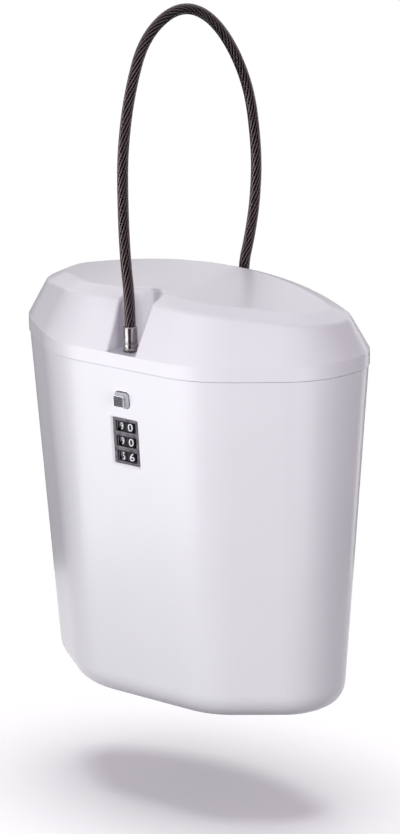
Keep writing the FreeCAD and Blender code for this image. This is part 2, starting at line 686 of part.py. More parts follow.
def button_face(width: float, height: float, corner: float, y: float) -> Part.Wire:
    """Rounded outline of the button at depth y, at the button's height."""
    wire = round_rect(width, height, corner, y)
    wire.translate(Vector(0, 0, BUTTON_RISE))
    return wire


def make_release_button() -> Part.Shape:
    """Push button with sloping sides, a stem through the wall and a flange behind it."""
    cap = Part.makeLoft([
        button_face(BUTTON_FACE_WIDTH, BUTTON_FACE_HEIGHT, BUTTON_FACE_CORNER, -BUTTON_PROUD),
        button_face(BUTTON_WIDTH, BUTTON_HEIGHT, BUTTON_CORNER, 0.0),
    ], True, True)
    stem = Part.Face(button_face(BUTTON_WIDTH, BUTTON_HEIGHT, BUTTON_CORNER, 0.0))
    stem = stem.extrude(Vector(0, BODY_WALL + BUTTON_STOP_GAP, 0))
    flange = Part.Face(button_face(BUTTON_WIDTH + 2 * BUTTON_FLANGE_MARGIN,
                                   BUTTON_HEIGHT + 2 * BUTTON_FLANGE_MARGIN,
                                   BUTTON_CORNER, BODY_WALL + BUTTON_STOP_GAP))
    flange = flange.extrude(Vector(0, BUTTON_FLANGE_THICKNESS, 0))
    seat = Part.Face(button_face(BUTTON_FACE_WIDTH - 2 * PAD_MARGIN,
                                 BUTTON_FACE_HEIGHT - 2 * PAD_MARGIN,
                                 PAD_CORNER, -BUTTON_PROUD - CUT))
    seat = seat.extrude(Vector(0, CUT + PAD_THICKNESS / 2, 0))
    return on_wall(cap.fuse(stem).fuse(flange).cut(seat).removeSplitter())


def make_button_pad() -> Part.Shape:
    """Dark grip pad let into the button's face, with ribs across it."""
    width, height = BUTTON_FACE_WIDTH - 2 * PAD_MARGIN, BUTTON_FACE_HEIGHT - 2 * PAD_MARGIN
    front = -BUTTON_PROUD - PAD_THICKNESS / 2
    pad = Part.Face(button_face(width, height, PAD_CORNER, front))
    pad = pad.extrude(Vector(0, PAD_THICKNESS, 0))
    pitch = height / PAD_RIBS
    for index in range(1, PAD_RIBS):
        z = BUTTON_RISE - height / 2 + index * pitch
        half = pitch * PAD_GROOVE_SHARE / 2
        groove = box(-width, width, front - CUT, front + PAD_RIB_DEPTH, z - half, z + half)
        pad = pad.cut(groove)
    return on_wall(pad)


def make_latch_slide() -> Part.Shape:
    """Latch behind the button: a stem, a riser behind the plug and a nose for its groove."""
    half = LATCH_WIDTH / 2
    front = BODY_WALL + BUTTON_STOP_GAP + BUTTON_FLANGE_THICKNESS
    riser_front = latch_wall_y()
    riser_back = riser_front + LATCH_THICKNESS
    low = BUTTON_RISE - LATCH_STEM_DROP
    stem = box(-half, half, front, riser_back, low, low + LATCH_THICKNESS)
    riser = box(-half, half, riser_front, riser_back, low, latch_top())
    groove_z = PLUG_TIP_Z + PLUG_GROOVE_RISE + PLUG_GROOVE_HEIGHT / 2 - LOCK_CENTRE_Z
    thick = LATCH_NOSE_THICKNESS / 2
    nose = box(-half, half, riser_front - LATCH_NOSE_REACH, riser_front + EPS,
               groove_z - thick, groove_z + thick)
    latch = on_wall(stem.fuse(riser).fuse(nose))
    clear = post(PLUG_RADIUS + LATCH_NOSE_CLEARANCE, 0, PLUG_Y, PLUG_TIP_Z - CUT, BODY_HEIGHT)
    return latch.cut(clear).removeSplitter()


def lid_block(shrink: float, low: float, band_drop: float, band_width: float) -> Part.Shape:
    """Domed block of the lid's form drawn in by shrink, from height low up.

    The band round the dome reaches band_drop down the steep sides and band_width over the top.
    """
    rim = Part.Face(SEAM_PLAN.wire(low, shrink - LID_OVERHANG))
    rim = rim.extrude(Vector(0, 0, RIM_TOP - low))
    rise = LID_TOP - RIM_TOP + CUT
    inset = shrink - LID_OVERHANG
    slope = Part.makeLoft([SEAM_PLAN.wire(RIM_TOP, inset),
                           SEAM_PLAN.wire(RIM_TOP + rise, inset + rise * LID_CHAMFER_SLOPE)],
                          True, True)
    radius = LID_DOME_RADIUS - shrink
    centre_z = LID_TOP - LID_DOME_RADIUS
    dome = Part.makeCylinder(radius, 2 * FAR, Vector(0, -FAR, centre_z), Vector(0, 1, 0))
    block = rim.fuse(slope).common(dome).removeSplitter()
    return block.makeChamfer(band_drop, band_width, top_edges(block))


def top_edges(lid: Part.Shape) -> list:
    """Edges round the domed top face of a lid block."""
    faces = [f for f in lid.Faces if abs(f.BoundBox.ZMax - lid.BoundBox.ZMax) < EPS]
    top = max(faces, key=lambda f: f.Area)
    return top.Edges


def band_lines(lid: Part.Shape) -> list:
    """Lines along both sides of the chamfered band, which run round the lid more than they rise."""
    lines = []
    for edge in lid.Edges:
        reach = edge.BoundBox
        level = reach.ZLength < BAND_LINE_SLOPE * max(reach.XLength, reach.YLength)
        if reach.ZMin > RIM_TOP + EPS and level:
            lines.append(edge)
    return lines


def notch_lines(lid: Part.Shape) -> list:
    """Lines where the notch's walls meet the outside of the lid, apart from those on its floor."""
    reach = NOTCH_HALF_WIDTH + (LID_TOP - RIM_TOP) * math.tan(math.radians(NOTCH_DRAFT)) + 1
    walls = [face for face in lid.Faces
             if max(abs(face.BoundBox.XMin), face.BoundBox.XMax) < reach
             and face.BoundBox.YMax < NOTCH_CENTRE_Y + reach
             and abs(face.BoundBox.ZMin - RIM_TOP) < EPS
             and face.BoundBox.ZLength > LID_RIM_HEIGHT]
    counted = [(edge, sum(1 for wall in walls for other in wall.Edges if other.isSame(edge)))
               for wall in walls for edge in wall.Edges]
    return [edge for edge, count in counted if count == 1 and edge.BoundBox.ZMax > RIM_TOP + EPS]


def notch_block(grow: float, low: float) -> Part.Shape:
    """Drafted slot that runs from the lid's front to a round back, grown by grow."""
    high = LID_TOP + CUT
    wires = []
    for z in (low, high):
        half = NOTCH_HALF_WIDTH + grow + (z - RIM_TOP) * math.tan(math.radians(NOTCH_DRAFT))
        front = FRONT_Y - NOTCH_BACK_DEPTH
        y = NOTCH_CENTRE_Y
        edges = [Part.makeLine(Vector(-half, front, z), Vector(half, front, z)),
                 Part.makeLine(Vector(half, front, z), Vector(half, y, z)),
                 Part.Arc(Vector(half, y, z), Vector(0, y + half, z), Vector(-half, y, z)).toShape(),
                 Part.makeLine(Vector(-half, y, z), Vector(-half, front, z))]
        wires.append(Part.Wire(edges))
    return Part.makeLoft(wires, True, True)


def panel_boss_places() -> list:
    """Places of the lid's panel screws, as (x, y)."""
    return [(side * PANEL_BOSS_X, y) for side in (-1, 1)
            for y in (PANEL_BOSS_FRONT_Y, PANEL_BOSS_REAR_Y)]


def make_lid_shell() -> Part.Shape:
    """Domed lid with its cable notch, rear pocket, locating lip and hinge knuckle."""
    outer = lid_block(0.0, LID_BOTTOM, LID_BAND_DROP, LID_BAND_WIDTH)
    outer = outer.makeFillet(LID_EDGE_ROUNDING, band_lines(outer))
    outer = outer.cut(notch_block(0.0, RIM_TOP))
    outer = outer.makeFillet(NOTCH_EDGE_ROUNDING, notch_lines(outer))
    hollow = lid_block(LID_WALL, FLANGE_TOP, LID_INNER_BAND_DROP, LID_INNER_BAND_WIDTH)
    flange_hole = Part.Face(SEAM_PLAN.wire(LID_BOTTOM - CUT, LIP_INSET + LIP_THICKNESS))
    hollow = hollow.fuse(flange_hole.extrude(Vector(0, 0, LID_FLANGE_THICKNESS + 2 * CUT)))
    solid_parts = [notch_block(NOTCH_WALL, PANEL_TOP),
                   post(POCKET_RADIUS + POCKET_WALL, 0, CABLE_EXIT_Y, PANEL_TOP, LID_TOP)]
    solid_parts += [post(PANEL_BOSS_RADIUS, x, y, PANEL_TOP, LID_TOP)
                    for x, y in panel_boss_places()]
    for part in solid_parts:
        hollow = hollow.cut(part)
    lid = outer.cut(hollow)

    lip = ring(LID_BOTTOM - LIP_DEPTH, LID_BOTTOM + CUT, LIP_INSET, LIP_INSET + LIP_THICKNESS)
    gap = LIP_LOCK_GAP / 2
    lip = lip.cut(box(-gap, gap, -FAR, 0, 0, LID_BOTTOM))
    lid = lid.fuse(lip).fuse(lid_knuckle())
    lid = lid.cut(hinge_bore(HINGE_PIN_RADIUS + HINGE_RUNNING_CLEARANCE))

    lid = lid.cut(post(POCKET_RADIUS, 0, CABLE_EXIT_Y, POCKET_FLOOR, FAR))
    lid = lid.cut(post(FRONT_BUSH_RADIUS, 0, PLUG_Y, 0, FAR))
    lid = lid.cut(post(REAR_BUSH_RADIUS, 0, CABLE_EXIT_Y, 0, FAR))
    groove = ring(LID_BOTTOM - CUT, LID_BOTTOM + SEAL_GROOVE_DEPTH,
                  SEAL_INSET, SEAL_INSET + SEAL_WIDTH)
    lid = lid.cut(groove)
    for x, y in panel_boss_places():
        depth = PANEL_SCREW_LENGTH - PANEL_THICKNESS
        lid = lid.cut(post(SCREW_RADIUS, x, y, PANEL_TOP - CUT, PANEL_TOP + depth))
    return lid


def make_rim_seal() -> Part.Shape:
    """Weather seal in the groove under the lid."""
    low = BODY_HEIGHT + SEAL_CLEARANCE
    return ring(low, LID_BOTTOM + SEAL_GROOVE_DEPTH, SEAL_INSET, SEAL_INSET + SEAL_WIDTH)


def make_lid_panel() -> Part.Shape:
    """Flat panel that closes the underside of the lid."""
    inset = LIP_INSET + LIP_THICKNESS + PANEL_CLEARANCE
    panel = Part.Face(SEAM_PLAN.wire(PANEL_BOTTOM, inset)).extrude(Vector(0, 0, PANEL_THICKNESS))
    panel = panel.cut(post(FRONT_BUSH_RADIUS, 0, PLUG_Y, 0, FAR))
    panel = panel.cut(post(REAR_BUSH_RADIUS, 0, CABLE_EXIT_Y, 0, FAR))
    for x, y in panel_boss_places():
        panel = panel.cut(post(SCREW_RADIUS, x, y, 0, FAR))
    return panel


def make_front_bush() -> Part.Shape:
    """Steel eyelet in the notch's floor, which the plug passes through."""
    bore = PLUG_RADIUS + FRONT_BUSH_CLEARANCE
    outside = FRONT_BUSH_RADIUS
    profile = [(bore, PANEL_BOTTOM), (outside, PANEL_BOTTOM), (outside, RIM_TOP),
               (bore + BUSH_EDGE, RIM_TOP), (bore, RIM_TOP - BUSH_EDGE)]
    return turned(profile, 0, PLUG_Y)


def make_rear_bush() -> Part.Shape:
    """Flanged eyelet that guides the rod below the cable's rear end."""
    bore = GUIDE_ROD_RADIUS + REAR_BUSH_CLEARANCE
    top = POCKET_FLOOR + REAR_BUSH_FLANGE_THICKNESS
    profile = [(bore, PANEL_BOTTOM), (REAR_BUSH_RADIUS, PANEL_BOTTOM),
               (REAR_BUSH_RADIUS, POCKET_FLOOR), (REAR_BUSH_FLANGE_RADIUS, POCKET_FLOOR),
               (REAR_BUSH_FLANGE_RADIUS, top), (bore + BUSH_EDGE, top), (bore, top - BUSH_EDGE)]
    return turned(profile, 0, CABLE_EXIT_Y)


def make_front_ferrule() -> Part.Shape:
    """Crimped ferrule at the cable's front end, with a flanged collar at its foot."""
    foot = COLLAR_BOTTOM
    shoulder = foot + FLANGE_RISE + FLANGE_EDGE
    collar_top = foot + FERRULE_COLLAR_HEIGHT
    neck_top = collar_top + NECK_HEIGHT
    flange, sleeve = FERRULE_FLANGE_RADIUS, FERRULE_RADIUS
    collar, neck = sleeve + COLLAR_STEP, sleeve - NECK_DEPTH
    profile = [(0, foot), (neck, foot), (flange, foot + FLANGE_RISE), (flange, shoulder),
               (collar, shoulder + FERRULE_EDGE), (collar, collar_top - COLLAR_EDGE),
               (neck, collar_top), (neck, neck_top), (sleeve, neck_top + COLLAR_EDGE),
               (sleeve, FERRULE_TOP - FERRULE_EDGE), (sleeve - FERRULE_EDGE, FERRULE_TOP),
               (0, FERRULE_TOP)]
    return turned(profile, 0, PLUG_Y)


def make_lock_plug() -> Part.Shape:
    """Grooved pin below the front ferrule."""
    low, high = PLUG_TIP_Z, COLLAR_BOTTOM
    groove = low + PLUG_GROOVE_RISE
    r, g, c = PLUG_RADIUS, PLUG_GROOVE_RADIUS, PLUG_TIP_CHAMFER
    profile = [(0, low), (r - c, low), (r, low + c), (r, groove), (g, groove),
               (g, groove + PLUG_GROOVE_HEIGHT), (r, groove + PLUG_GROOVE_HEIGHT), (r, high), (0, high)]
    return turned(profile, 0, PLUG_Y)


def make_rear_ferrule() -> Part.Shape:
    """Crimped ferrule at the cable's rear end."""
    z, top, r, edge = REAR_FERRULE_FOOT, REAR_FERRULE_TOP, FERRULE_RADIUS, FERRULE_EDGE
    profile = [(0, z), (r - edge, z), (r, z + edge), (r, top - edge), (r - edge, top), (0, top)]
    return turned(profile, 0, CABLE_EXIT_Y)


def make_guide_rod() -> Part.Shape:
    """Rod from the rear ferrule down through the bush to the stop collar."""
    low = STOP_COLLAR_TOP - STOP_COLLAR_LENGTH
    return post(GUIDE_ROD_RADIUS, 0, CABLE_EXIT_Y, low, REAR_FERRULE_FOOT)


def make_stop_collar() -> Part.Shape:
    """Collar that keeps the rod from pulling out of the lid."""
    r, bore, z1 = STOP_COLLAR_RADIUS, GUIDE_ROD_RADIUS, STOP_COLLAR_TOP
    z0 = z1 - STOP_COLLAR_LENGTH
    edge = STOP_COLLAR_EDGE
    profile = [(bore, z0), (r - edge, z0), (r, z0 + edge), (r, z1 - edge), (r - edge, z1), (bore, z1)]
    return turned(profile, 0, CABLE_EXIT_Y)


def make_cable() -> Part.Shape:
    """Coated cable along its route, as straight runs joined by tangent arcs."""
    points = [Vector(0, y, z) for y, z in CABLE_ROUTE]
    edges = []
    start = points[0]
    for before, corner, after in zip(points, points[1:], points[2:]):
        into, out = corner - before, after - corner
        turn = into.getAngle(out)
        reach = CABLE_BEND_SHARE * min(into.Length, out.Length)
        radius = reach / math.tan(turn / 2)
        into.normalize()
        out.normalize()
        first, last = corner - into * reach, corner + out * reach
        inward = (out - into).normalize()
        middle = corner + inward * (radius / math.cos(turn / 2) - radius)
        edges += [Part.makeLine(start, first), Part.Arc(first, middle, last).toShape()]
        start = last
        print(f"cable bend at {corner.y:.0f}, {corner.z:.0f}: radius {radius:.1f} mm")
    edges.append(Part.makeLine(start, points[-1]))
    path = Part.Wire(edges)
    section = Part.Wire(Part.makeCircle(CABLE_RADIUS, points[0], Vector(0, 0, 1)))
    tube = path.makePipeShell([section], True, False)
    expected = math.pi * CABLE_RADIUS ** 2 * path.Length
    print(f"cable length {path.Length:.1f} mm, volume {tube.Volume:.1f} of {expected:.1f} mm3")
    return tube


def make_hinge_pin() -> Part.Shape:
    """Pin through all three knuckles."""
    length = HINGE_LENGTH - 2 * HINGE_PIN_SETBACK
    start = Vector(-length / 2, HINGE_Y, BODY_HEIGHT)
    return Part.makeCylinder(HINGE_PIN_RADIUS, length, start, Vector(1, 0, 0))


def make_panel_screws() -> Part.Shape:
    """Screws that hold the lid's inner panel, heads down."""
    screws = []
    for x, y in panel_boss_places():
        item = screw(PANEL_SCREW_LENGTH)
        item.rotate(Vector(0, 0, 0), Vector(1, 0, 0), 180)
        item.translate(Vector(x, y, PANEL_BOTTOM))
        screws.append(item)
    return Part.makeCompound(screws)


def make_wall_screws(places: list, depth: float, length: float) -> Part.Shape:
    """Screws driven towards the front wall, in the wall's frame."""
    screws = []
    for x, z in places:
        item = screw(length)
        item.rotate(Vector(0, 0, 0), Vector(1, 0, 0), -90)
        item.translate(Vector(x, depth, z))
        screws.append(on_wall(item))
    return Part.makeCompound(screws)


def build() -> dict:
    """Returns every node's shape by name."""
    ear_seat = BODY_WALL + EAR_BOSS_HEIGHT + EAR_THICKNESS
    nodes = {
        "body_shell": make_body_shell(),
        "hinge_lugs": make_hinge_lugs(),
        "hinge_pin": make_hinge_pin(),
        "lock_plate": make_lock_plate(),
        "lock_housing": make_lock_housing(),
        "lock_cover": make_lock_cover(),
        "detent_spring": make_detent_spring(),
        "dial_spindle": make_spindle(),
        "housing_screws": make_wall_screws(screw_places_on_ears(), ear_seat, EAR_SCREW_LENGTH),
        "cover_screws": make_wall_screws(cover_screw_places(), HOUSING_BACK + COVER_THICKNESS,
                                         COVER_SCREW_LENGTH),
        "release_button": make_release_button(),
        "button_pad": make_button_pad(),
        "latch_slide": make_latch_slide(),
        "lid_shell": make_lid_shell(),
        "lid_panel": make_lid_panel(),
        "rim_seal": make_rim_seal(),
        "panel_screws": make_panel_screws(),
        "front_bush": make_front_bush(),
        "rear_bush": make_rear_bush(),
        "security_cable": make_cable(),
        "front_ferrule": make_front_ferrule(),
        "lock_plug": make_lock_plug(),
        "rear_ferrule": make_rear_ferrule(),
        "guide_rod": make_guide_rod(),
        "stop_collar": make_stop_collar(),
    }
    for number, z in enumerate(dial_heights(), start=1):
        nodes[f"dial_{number}"] = make_dial(z)
        nodes[f"code_cam_{number}"] = make_code_cam(z)
    return nodes


def main() -> None:
    """Builds every node and writes it to parts/."""
    os.makedirs("parts", exist_ok=True)
    for name, shape in build().items():
        shape.exportStep(os.path.join("parts", f"{name}.step"))
        limits = shape.BoundBox
        print(f"{name}: {len(shape.Solids)} solid, valid {shape.isValid()}, "
              f"volume {shape.Volume:.0f}, z {limits.ZMin:.1f} to {limits.ZMax:.1f}")


if __name__ == "__main__":
    main()
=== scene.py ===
"""Portable safe on a plain pale floor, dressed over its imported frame."""
import json
import logging
import math
from dataclasses import dataclass, field
from enum import Enum

import bmesh
import bpy
from mathutils import Matrix, Vector


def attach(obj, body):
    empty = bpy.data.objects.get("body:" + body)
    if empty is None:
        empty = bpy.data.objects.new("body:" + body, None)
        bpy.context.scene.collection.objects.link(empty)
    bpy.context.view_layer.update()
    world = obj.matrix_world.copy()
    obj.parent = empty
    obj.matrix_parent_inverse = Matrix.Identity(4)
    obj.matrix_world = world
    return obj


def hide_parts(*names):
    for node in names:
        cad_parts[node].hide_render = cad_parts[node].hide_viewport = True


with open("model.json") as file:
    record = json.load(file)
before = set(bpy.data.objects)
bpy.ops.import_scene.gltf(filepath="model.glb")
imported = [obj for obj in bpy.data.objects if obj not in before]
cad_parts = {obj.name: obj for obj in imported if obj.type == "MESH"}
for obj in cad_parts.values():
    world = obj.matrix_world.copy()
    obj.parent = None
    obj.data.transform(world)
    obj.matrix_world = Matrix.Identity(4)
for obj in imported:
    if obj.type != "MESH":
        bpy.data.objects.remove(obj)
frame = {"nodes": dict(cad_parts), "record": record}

LOG = logging.getLogger("portable_safe")
MM = 0.001
FULL_TURN = 2.0 * math.pi
SAME_PLACE = 1e-6


class Graph:
    """Short way to add nodes to a shader or geometry tree and to join them."""

    def __init__(self, tree: bpy.types.NodeTree) -> None:
        """Keeps the tree that the nodes go into."""
        self.tree = tree

    def add(self, kind: str, inputs: dict | None = None, **settings: object) -> bpy.types.Node:
        """Adds one node.

        Args:
            kind: Node type.
            inputs: Sockets to join and values to set, by the input's name or number.
            **settings: Properties of the node.

        Returns:
            The node.
        """
        node = self.tree.nodes.new(kind)
        for name, value in settings.items():
            setattr(node, name, value)
        for key, value in (inputs or {}).items():
            if isinstance(value, bpy.types.NodeSocket):
                self.tree.links.new(value, node.inputs[key])
            else:
                node.inputs[key].default_value = value
        return node

    def calc(self, operation: str, *values: object) -> bpy.types.NodeSocket:
        """Adds a Math node.

        Args:
            operation: What it works out.
            *values: Sockets or numbers.

        Returns:
            Its result.
        """
        return self.add("ShaderNodeMath", dict(enumerate(values)), operation=operation).outputs[0]


# Finishes

class Grain(Enum):
    """Fine relief of a surface."""

    MOULDED = "moulded"
    RUBBER = "rubber"
    BRUSHED = "brushed"
    TURNED = "turned"
    POLISHED = "polished"


GRAIN_STRETCH = {
    Grain.MOULDED: (1.0, 1.0, 1.0),
    Grain.RUBBER: (1.0, 1.0, 1.0),
    Grain.BRUSHED: (0.03, 1.0, 1.0),
    Grain.TURNED: (0.02, 0.02, 1.0),
    Grain.POLISHED: (1.0, 1.0, 1.0),
}


@dataclass(frozen=True)
class Finish:
    """One surface finish: its colour, gloss, grain, unevenness and lighter edges, partly worn and partly
    a painted highlight.
    """

    name: str
    colour: tuple[float, float, float]
    grain: Grain = Grain.MOULDED
    roughness: float = 0.45
    metallic: float = 0.0
    grain_scale: float = 2500.0
    grain_height: float = 0.02
    variation: float = 0.06
    variation_scale: float = 40.0
    rough_spread: float = 0.08
    specular: float = 0.5
    coat: float = 0.0
    coat_roughness: float = 0.3
    # Lighter edges: partly worn metal, partly a painted highlight along each edge.
    wear: float = 0.0
    wear_radius: float = 0.25

    def material(self) -> bpy.types.Material:
        """Makes the node-based material for this finish, once."""
        known = bpy.data.materials.get(self.name)
        if known is not None:
            return known
        made = bpy.data.materials.new(self.name)
        made.use_nodes = True
        made.diffuse_color = (*self.colour, 1.0)
        graph = Graph(made.node_tree)
        shader = graph.tree.nodes["Principled BSDF"]
        shader.inputs["Metallic"].default_value = self.metallic
        shader.inputs["Specular IOR Level"].default_value = self.specular
        shader.inputs["Coat Weight"].default_value = self.coat
        shader.inputs["Coat Roughness"].default_value = self.coat_roughness
        place = graph.add("ShaderNodeTexCoord").outputs["Object"]
        cloud = graph.add("ShaderNodeTexNoise", {
            "Vector": place, "Scale": self.variation_scale, "Detail": 3.0}).outputs["Fac"]
        self.paint(graph, shader, cloud)
        self.gloss(graph, shader, cloud)
        self.relief(graph, shader, place)
        return made

    def shade(self, amount: float) -> tuple[float, float, float, float]:
        """The colour, lighter or darker by a share, with full cover."""
        return (*(min(1.0, part * (1.0 + amount)) for part in self.colour), 1.0)

    def paint(self, graph: Graph, shader: bpy.types.Node, cloud: bpy.types.NodeSocket) -> None:
        """Links the clouded colour, with lighter edges that are partly worn and partly a painted
        highlight.

        Args:
            graph: Material's nodes.
            shader: Principled shader.
            cloud: Slow noise over the piece.
        """
        ramp = graph.add("ShaderNodeValToRGB", {"Fac": cloud})
        dark, light = ramp.color_ramp.elements
        dark.position, dark.color = 0.3, self.shade(-self.variation)
        light.position, light.color = 0.7, self.shade(self.variation)
        colour = ramp.outputs["Color"]
        # Edges found by the Bevel node are lightened: partly worn, partly a painted highlight.
        if self.wear > 0.0:
            round_edge = graph.add("ShaderNodeBevel", {"Radius": self.wear_radius * MM}, samples=4)
            surface = graph.add("ShaderNodeNewGeometry")
            likeness = graph.add("ShaderNodeVectorMath", {
                0: round_edge.outputs["Normal"], 1: surface.outputs["Normal"]},
                operation="DOT_PRODUCT").outputs["Value"]
            edge = graph.add("ShaderNodeMapRange", {
                "Value": likeness, "From Min": 1.0, "From Max": 0.85, "To Max": self.wear})
            mix = graph.add("ShaderNodeMixRGB", {
                "Fac": edge.outputs["Result"], "Color1": colour, "Color2": self.shade(self.wear)})
            colour = mix.outputs["Color"]
        graph.tree.links.new(colour, shader.inputs["Base Color"])

    def gloss(self, graph: Graph, shader: bpy.types.Node, cloud: bpy.types.NodeSocket) -> None:
        """Links the uneven gloss.

        Args:
            graph: Material's nodes.
            shader: Principled shader.
            cloud: Slow noise over the piece.
        """
        span = graph.add("ShaderNodeMapRange", {
            "Value": cloud, "To Min": max(0.02, self.roughness - self.rough_spread),
            "To Max": min(1.0, self.roughness + self.rough_spread)})
        graph.tree.links.new(span.outputs["Result"], shader.inputs["Roughness"])

    def relief(self, graph: Graph, shader: bpy.types.Node, place: bpy.types.NodeSocket) -> None:
        """Links the fine grain as a bump.

        Args:
            graph: Material's nodes.
            shader: Principled shader.
            place: The piece's own coordinates.
        """
        along = graph.add("ShaderNodeMapping", {"Vector": place, "Scale": GRAIN_STRETCH[self.grain]})
        if self.grain is Grain.RUBBER:
            grain = graph.add("ShaderNodeTexVoronoi", {
                "Vector": along.outputs["Vector"], "Scale": self.grain_scale}).outputs["Distance"]
        else:
            grain = graph.add("ShaderNodeTexNoise", {
                "Vector": along.outputs["Vector"], "Scale": self.grain_scale,
                "Detail": 2.0}).outputs["Fac"]
        bump = graph.add("ShaderNodeBump", {
            "Height": grain, "Strength": 1.0, "Distance": self.grain_height * MM})
        graph.tree.links.new(bump.outputs["Normal"], shader.inputs["Normal"])


SHELL = Finish("satin_shell", (0.80, 0.79, 0.83), roughness=0.46, grain_scale=1500.0,
               grain_height=0.045, variation=0.012, variation_scale=18.0, rough_spread=0.04,
               specular=0.3, coat=1.0, coat_roughness=0.26)
INNER = Finish("inner_moulding", (0.50, 0.50, 0.54), roughness=0.55, grain_height=0.04)
LOCK_CASE = Finish("lock_moulding", (0.035, 0.035, 0.04), roughness=0.5)
SEAL = Finish("soft_seal", (0.02, 0.02, 0.02), Grain.RUBBER, roughness=0.75)
PLATE = Finish("plated_face", (0.115, 0.105, 0.118), Grain.BRUSHED, roughness=0.48, metallic=0.25,
               grain_scale=900.0, grain_height=0.05, variation=0.65, variation_scale=420.0,
               specular=0.3, wear=0.4, wear_radius=0.12)
DIAL = Finish("wheel_black", (0.010, 0.010, 0.012), roughness=0.4, specular=0.2)
DIGIT = Finish("wheel_digit", (0.80, 0.80, 0.82), roughness=0.5)
BRASS = Finish("turned_brass", (0.62, 0.44, 0.16), Grain.TURNED, roughness=0.3, metallic=1.0)
STEEL = Finish("turned_steel", (0.52, 0.52, 0.54), Grain.TURNED, roughness=0.28, metallic=1.0,
               variation=0.12, variation_scale=220.0, wear=0.3)
SPRING = Finish("spring_leaf", (0.22, 0.23, 0.26), Grain.BRUSHED, roughness=0.3, metallic=1.0)
BUTTON = Finish("button_plating", (0.55, 0.55, 0.59), Grain.POLISHED, roughness=0.24, metallic=1.0,
                variation=0.1, variation_scale=260.0, wear=0.5)
PAD = Finish("grip_rubber", (0.030, 0.030, 0.034), Grain.RUBBER, roughness=0.55, grain_height=0.01)
PAD_POINTS = Finish("grip_points", (0.20, 0.20, 0.22), Grain.RUBBER, roughness=0.5,
                    grain_height=0.01)
CHROME = Finish("ferrule_plating", (0.34, 0.31, 0.32), Grain.TURNED, roughness=0.16, metallic=1.0,
                grain_scale=1800.0, grain_height=0.006, variation=0.3, variation_scale=350.0,
                wear=0.4)
WIRE = Finish("cable_wire", (0.175, 0.135, 0.145), Grain.POLISHED, roughness=0.2, metallic=0.9,
              variation=0.15, variation_scale=900.0)
# Near-black core: painted shade that shows in the gaps between the wires.
CORE_GAP_SHADE = Finish("cable_core_painted_shade", (0.006, 0.005, 0.005), roughness=0.6, specular=0.1)

NODE_FINISH = {
    "body_shell": SHELL, "lid_shell": SHELL, "hinge_lugs": SHELL, "lid_panel": INNER, "rim_seal": SEAL,
    "panel_screws": STEEL, "front_bush": STEEL, "rear_bush": STEEL, "hinge_pin": STEEL,
    "lock_plate": PLATE, "lock_housing": LOCK_CASE, "lock_cover": LOCK_CASE, "dial_spindle": STEEL,
    "detent_spring": SPRING, "housing_screws": STEEL, "cover_screws": STEEL, "dial_1": DIAL,
    "dial_2": DIAL, "dial_3": DIAL, "code_cam_1": BRASS, "code_cam_2": BRASS, "code_cam_3": BRASS,
    "release_button": BUTTON, "button_pad": PAD, "latch_slide": STEEL, "front_ferrule": CHROME,
    "rear_ferrule": CHROME, "lock_plug": CHROME, "guide_rod": STEEL, "stop_collar": STEEL,
}


# Shared ways of making a piece

class SizedTree(Graph):
    """Geometry Nodes tree whose sizes are named inputs."""

    def __init__(self, name: str, sizes: dict[str, float]) -> None:
        """Makes the tree with one input for each size.

        Args:
            name: Tree's name.
            sizes: Each input's name and value. A whole number makes a whole-number input.
        """
        super().__init__(bpy.data.node_groups.new(name, "GeometryNodeTree"))
        self.sizes = sizes
        face = self.tree.interface
        face.new_socket("Geometry", in_out="INPUT", socket_type="NodeSocketGeometry")
        for label, value in sizes.items():
            kind = "NodeSocketInt" if isinstance(value, int) else "NodeSocketFloat"
            face.new_socket(label, in_out="INPUT", socket_type=kind)
        face.new_socket("Geometry", in_out="OUTPUT", socket_type="NodeSocketGeometry")
        self.source = self.add("NodeGroupInput")
        self.sink = self.add("NodeGroupOutput")

    def size(self, label: str) -> bpy.types.NodeSocket:
        """The socket of a named size."""
        return self.source.outputs[label]

    def close(self, shape: bpy.types.NodeSocket, finish: Finish) -> None:
        """Ends the tree in real geometry with its material.

        Args:
            shape: Geometry to hand out.
            finish: Its finish.
        """
        whole = self.add("GeometryNodeRealizeInstances", {"Geometry": shape})
        dressed = self.add("GeometryNodeSetMaterial", {
            "Geometry": whole.outputs["Geometry"], "Material": finish.material()})
        self.tree.links.new(dressed.outputs["Geometry"], self.sink.inputs["Geometry"])

    def run(self, name: str, start: bpy.types.Mesh) -> bpy.types.Object:
        """Runs the tree on a mesh and keeps the result as a plain piece.

        Args:
            name: Piece's name.
            start: Mesh that the tree is given.

        Returns:
            The piece, at the origin.
        """
        carrier = bpy.data.objects.new(name + "_start", start)
        bpy.context.scene.collection.objects.link(carrier)
        modifier = carrier.modifiers.new("sizes", "NODES")
        modifier.node_group = self.tree
        for item in self.tree.interface.items_tree:
            if item.in_out == "INPUT" and item.name in self.sizes:
                modifier[item.identifier] = self.sizes[item.name]
        return baked(carrier, name)


def baked(carrier: bpy.types.Object, name: str) -> bpy.types.Object:
    """Turns an object with live modifiers into a plain mesh object, and removes the first.

    Args:
        carrier: Object whose modifiers make the shape.
        name: Name of the plain object.

    Returns:
        The plain object at the origin.
    """
    bpy.context.view_layer.update()
    graph = bpy.context.evaluated_depsgraph_get()
    mesh = bpy.data.meshes.new_from_object(carrier.evaluated_get(graph))
    mesh.name = name
    bpy.data.objects.remove(carrier)
    item = bpy.data.objects.new(name, mesh)
    bpy.context.scene.collection.objects.link(item)
    return item


def dress_node(name: str) -> None:
    """Gives a node of the frame its finish."""
    item = frame["nodes"][name]
    item.data.materials.clear()
    item.data.materials.append(NODE_FINISH[name].material())
    LOG.info("dressed %s", name)


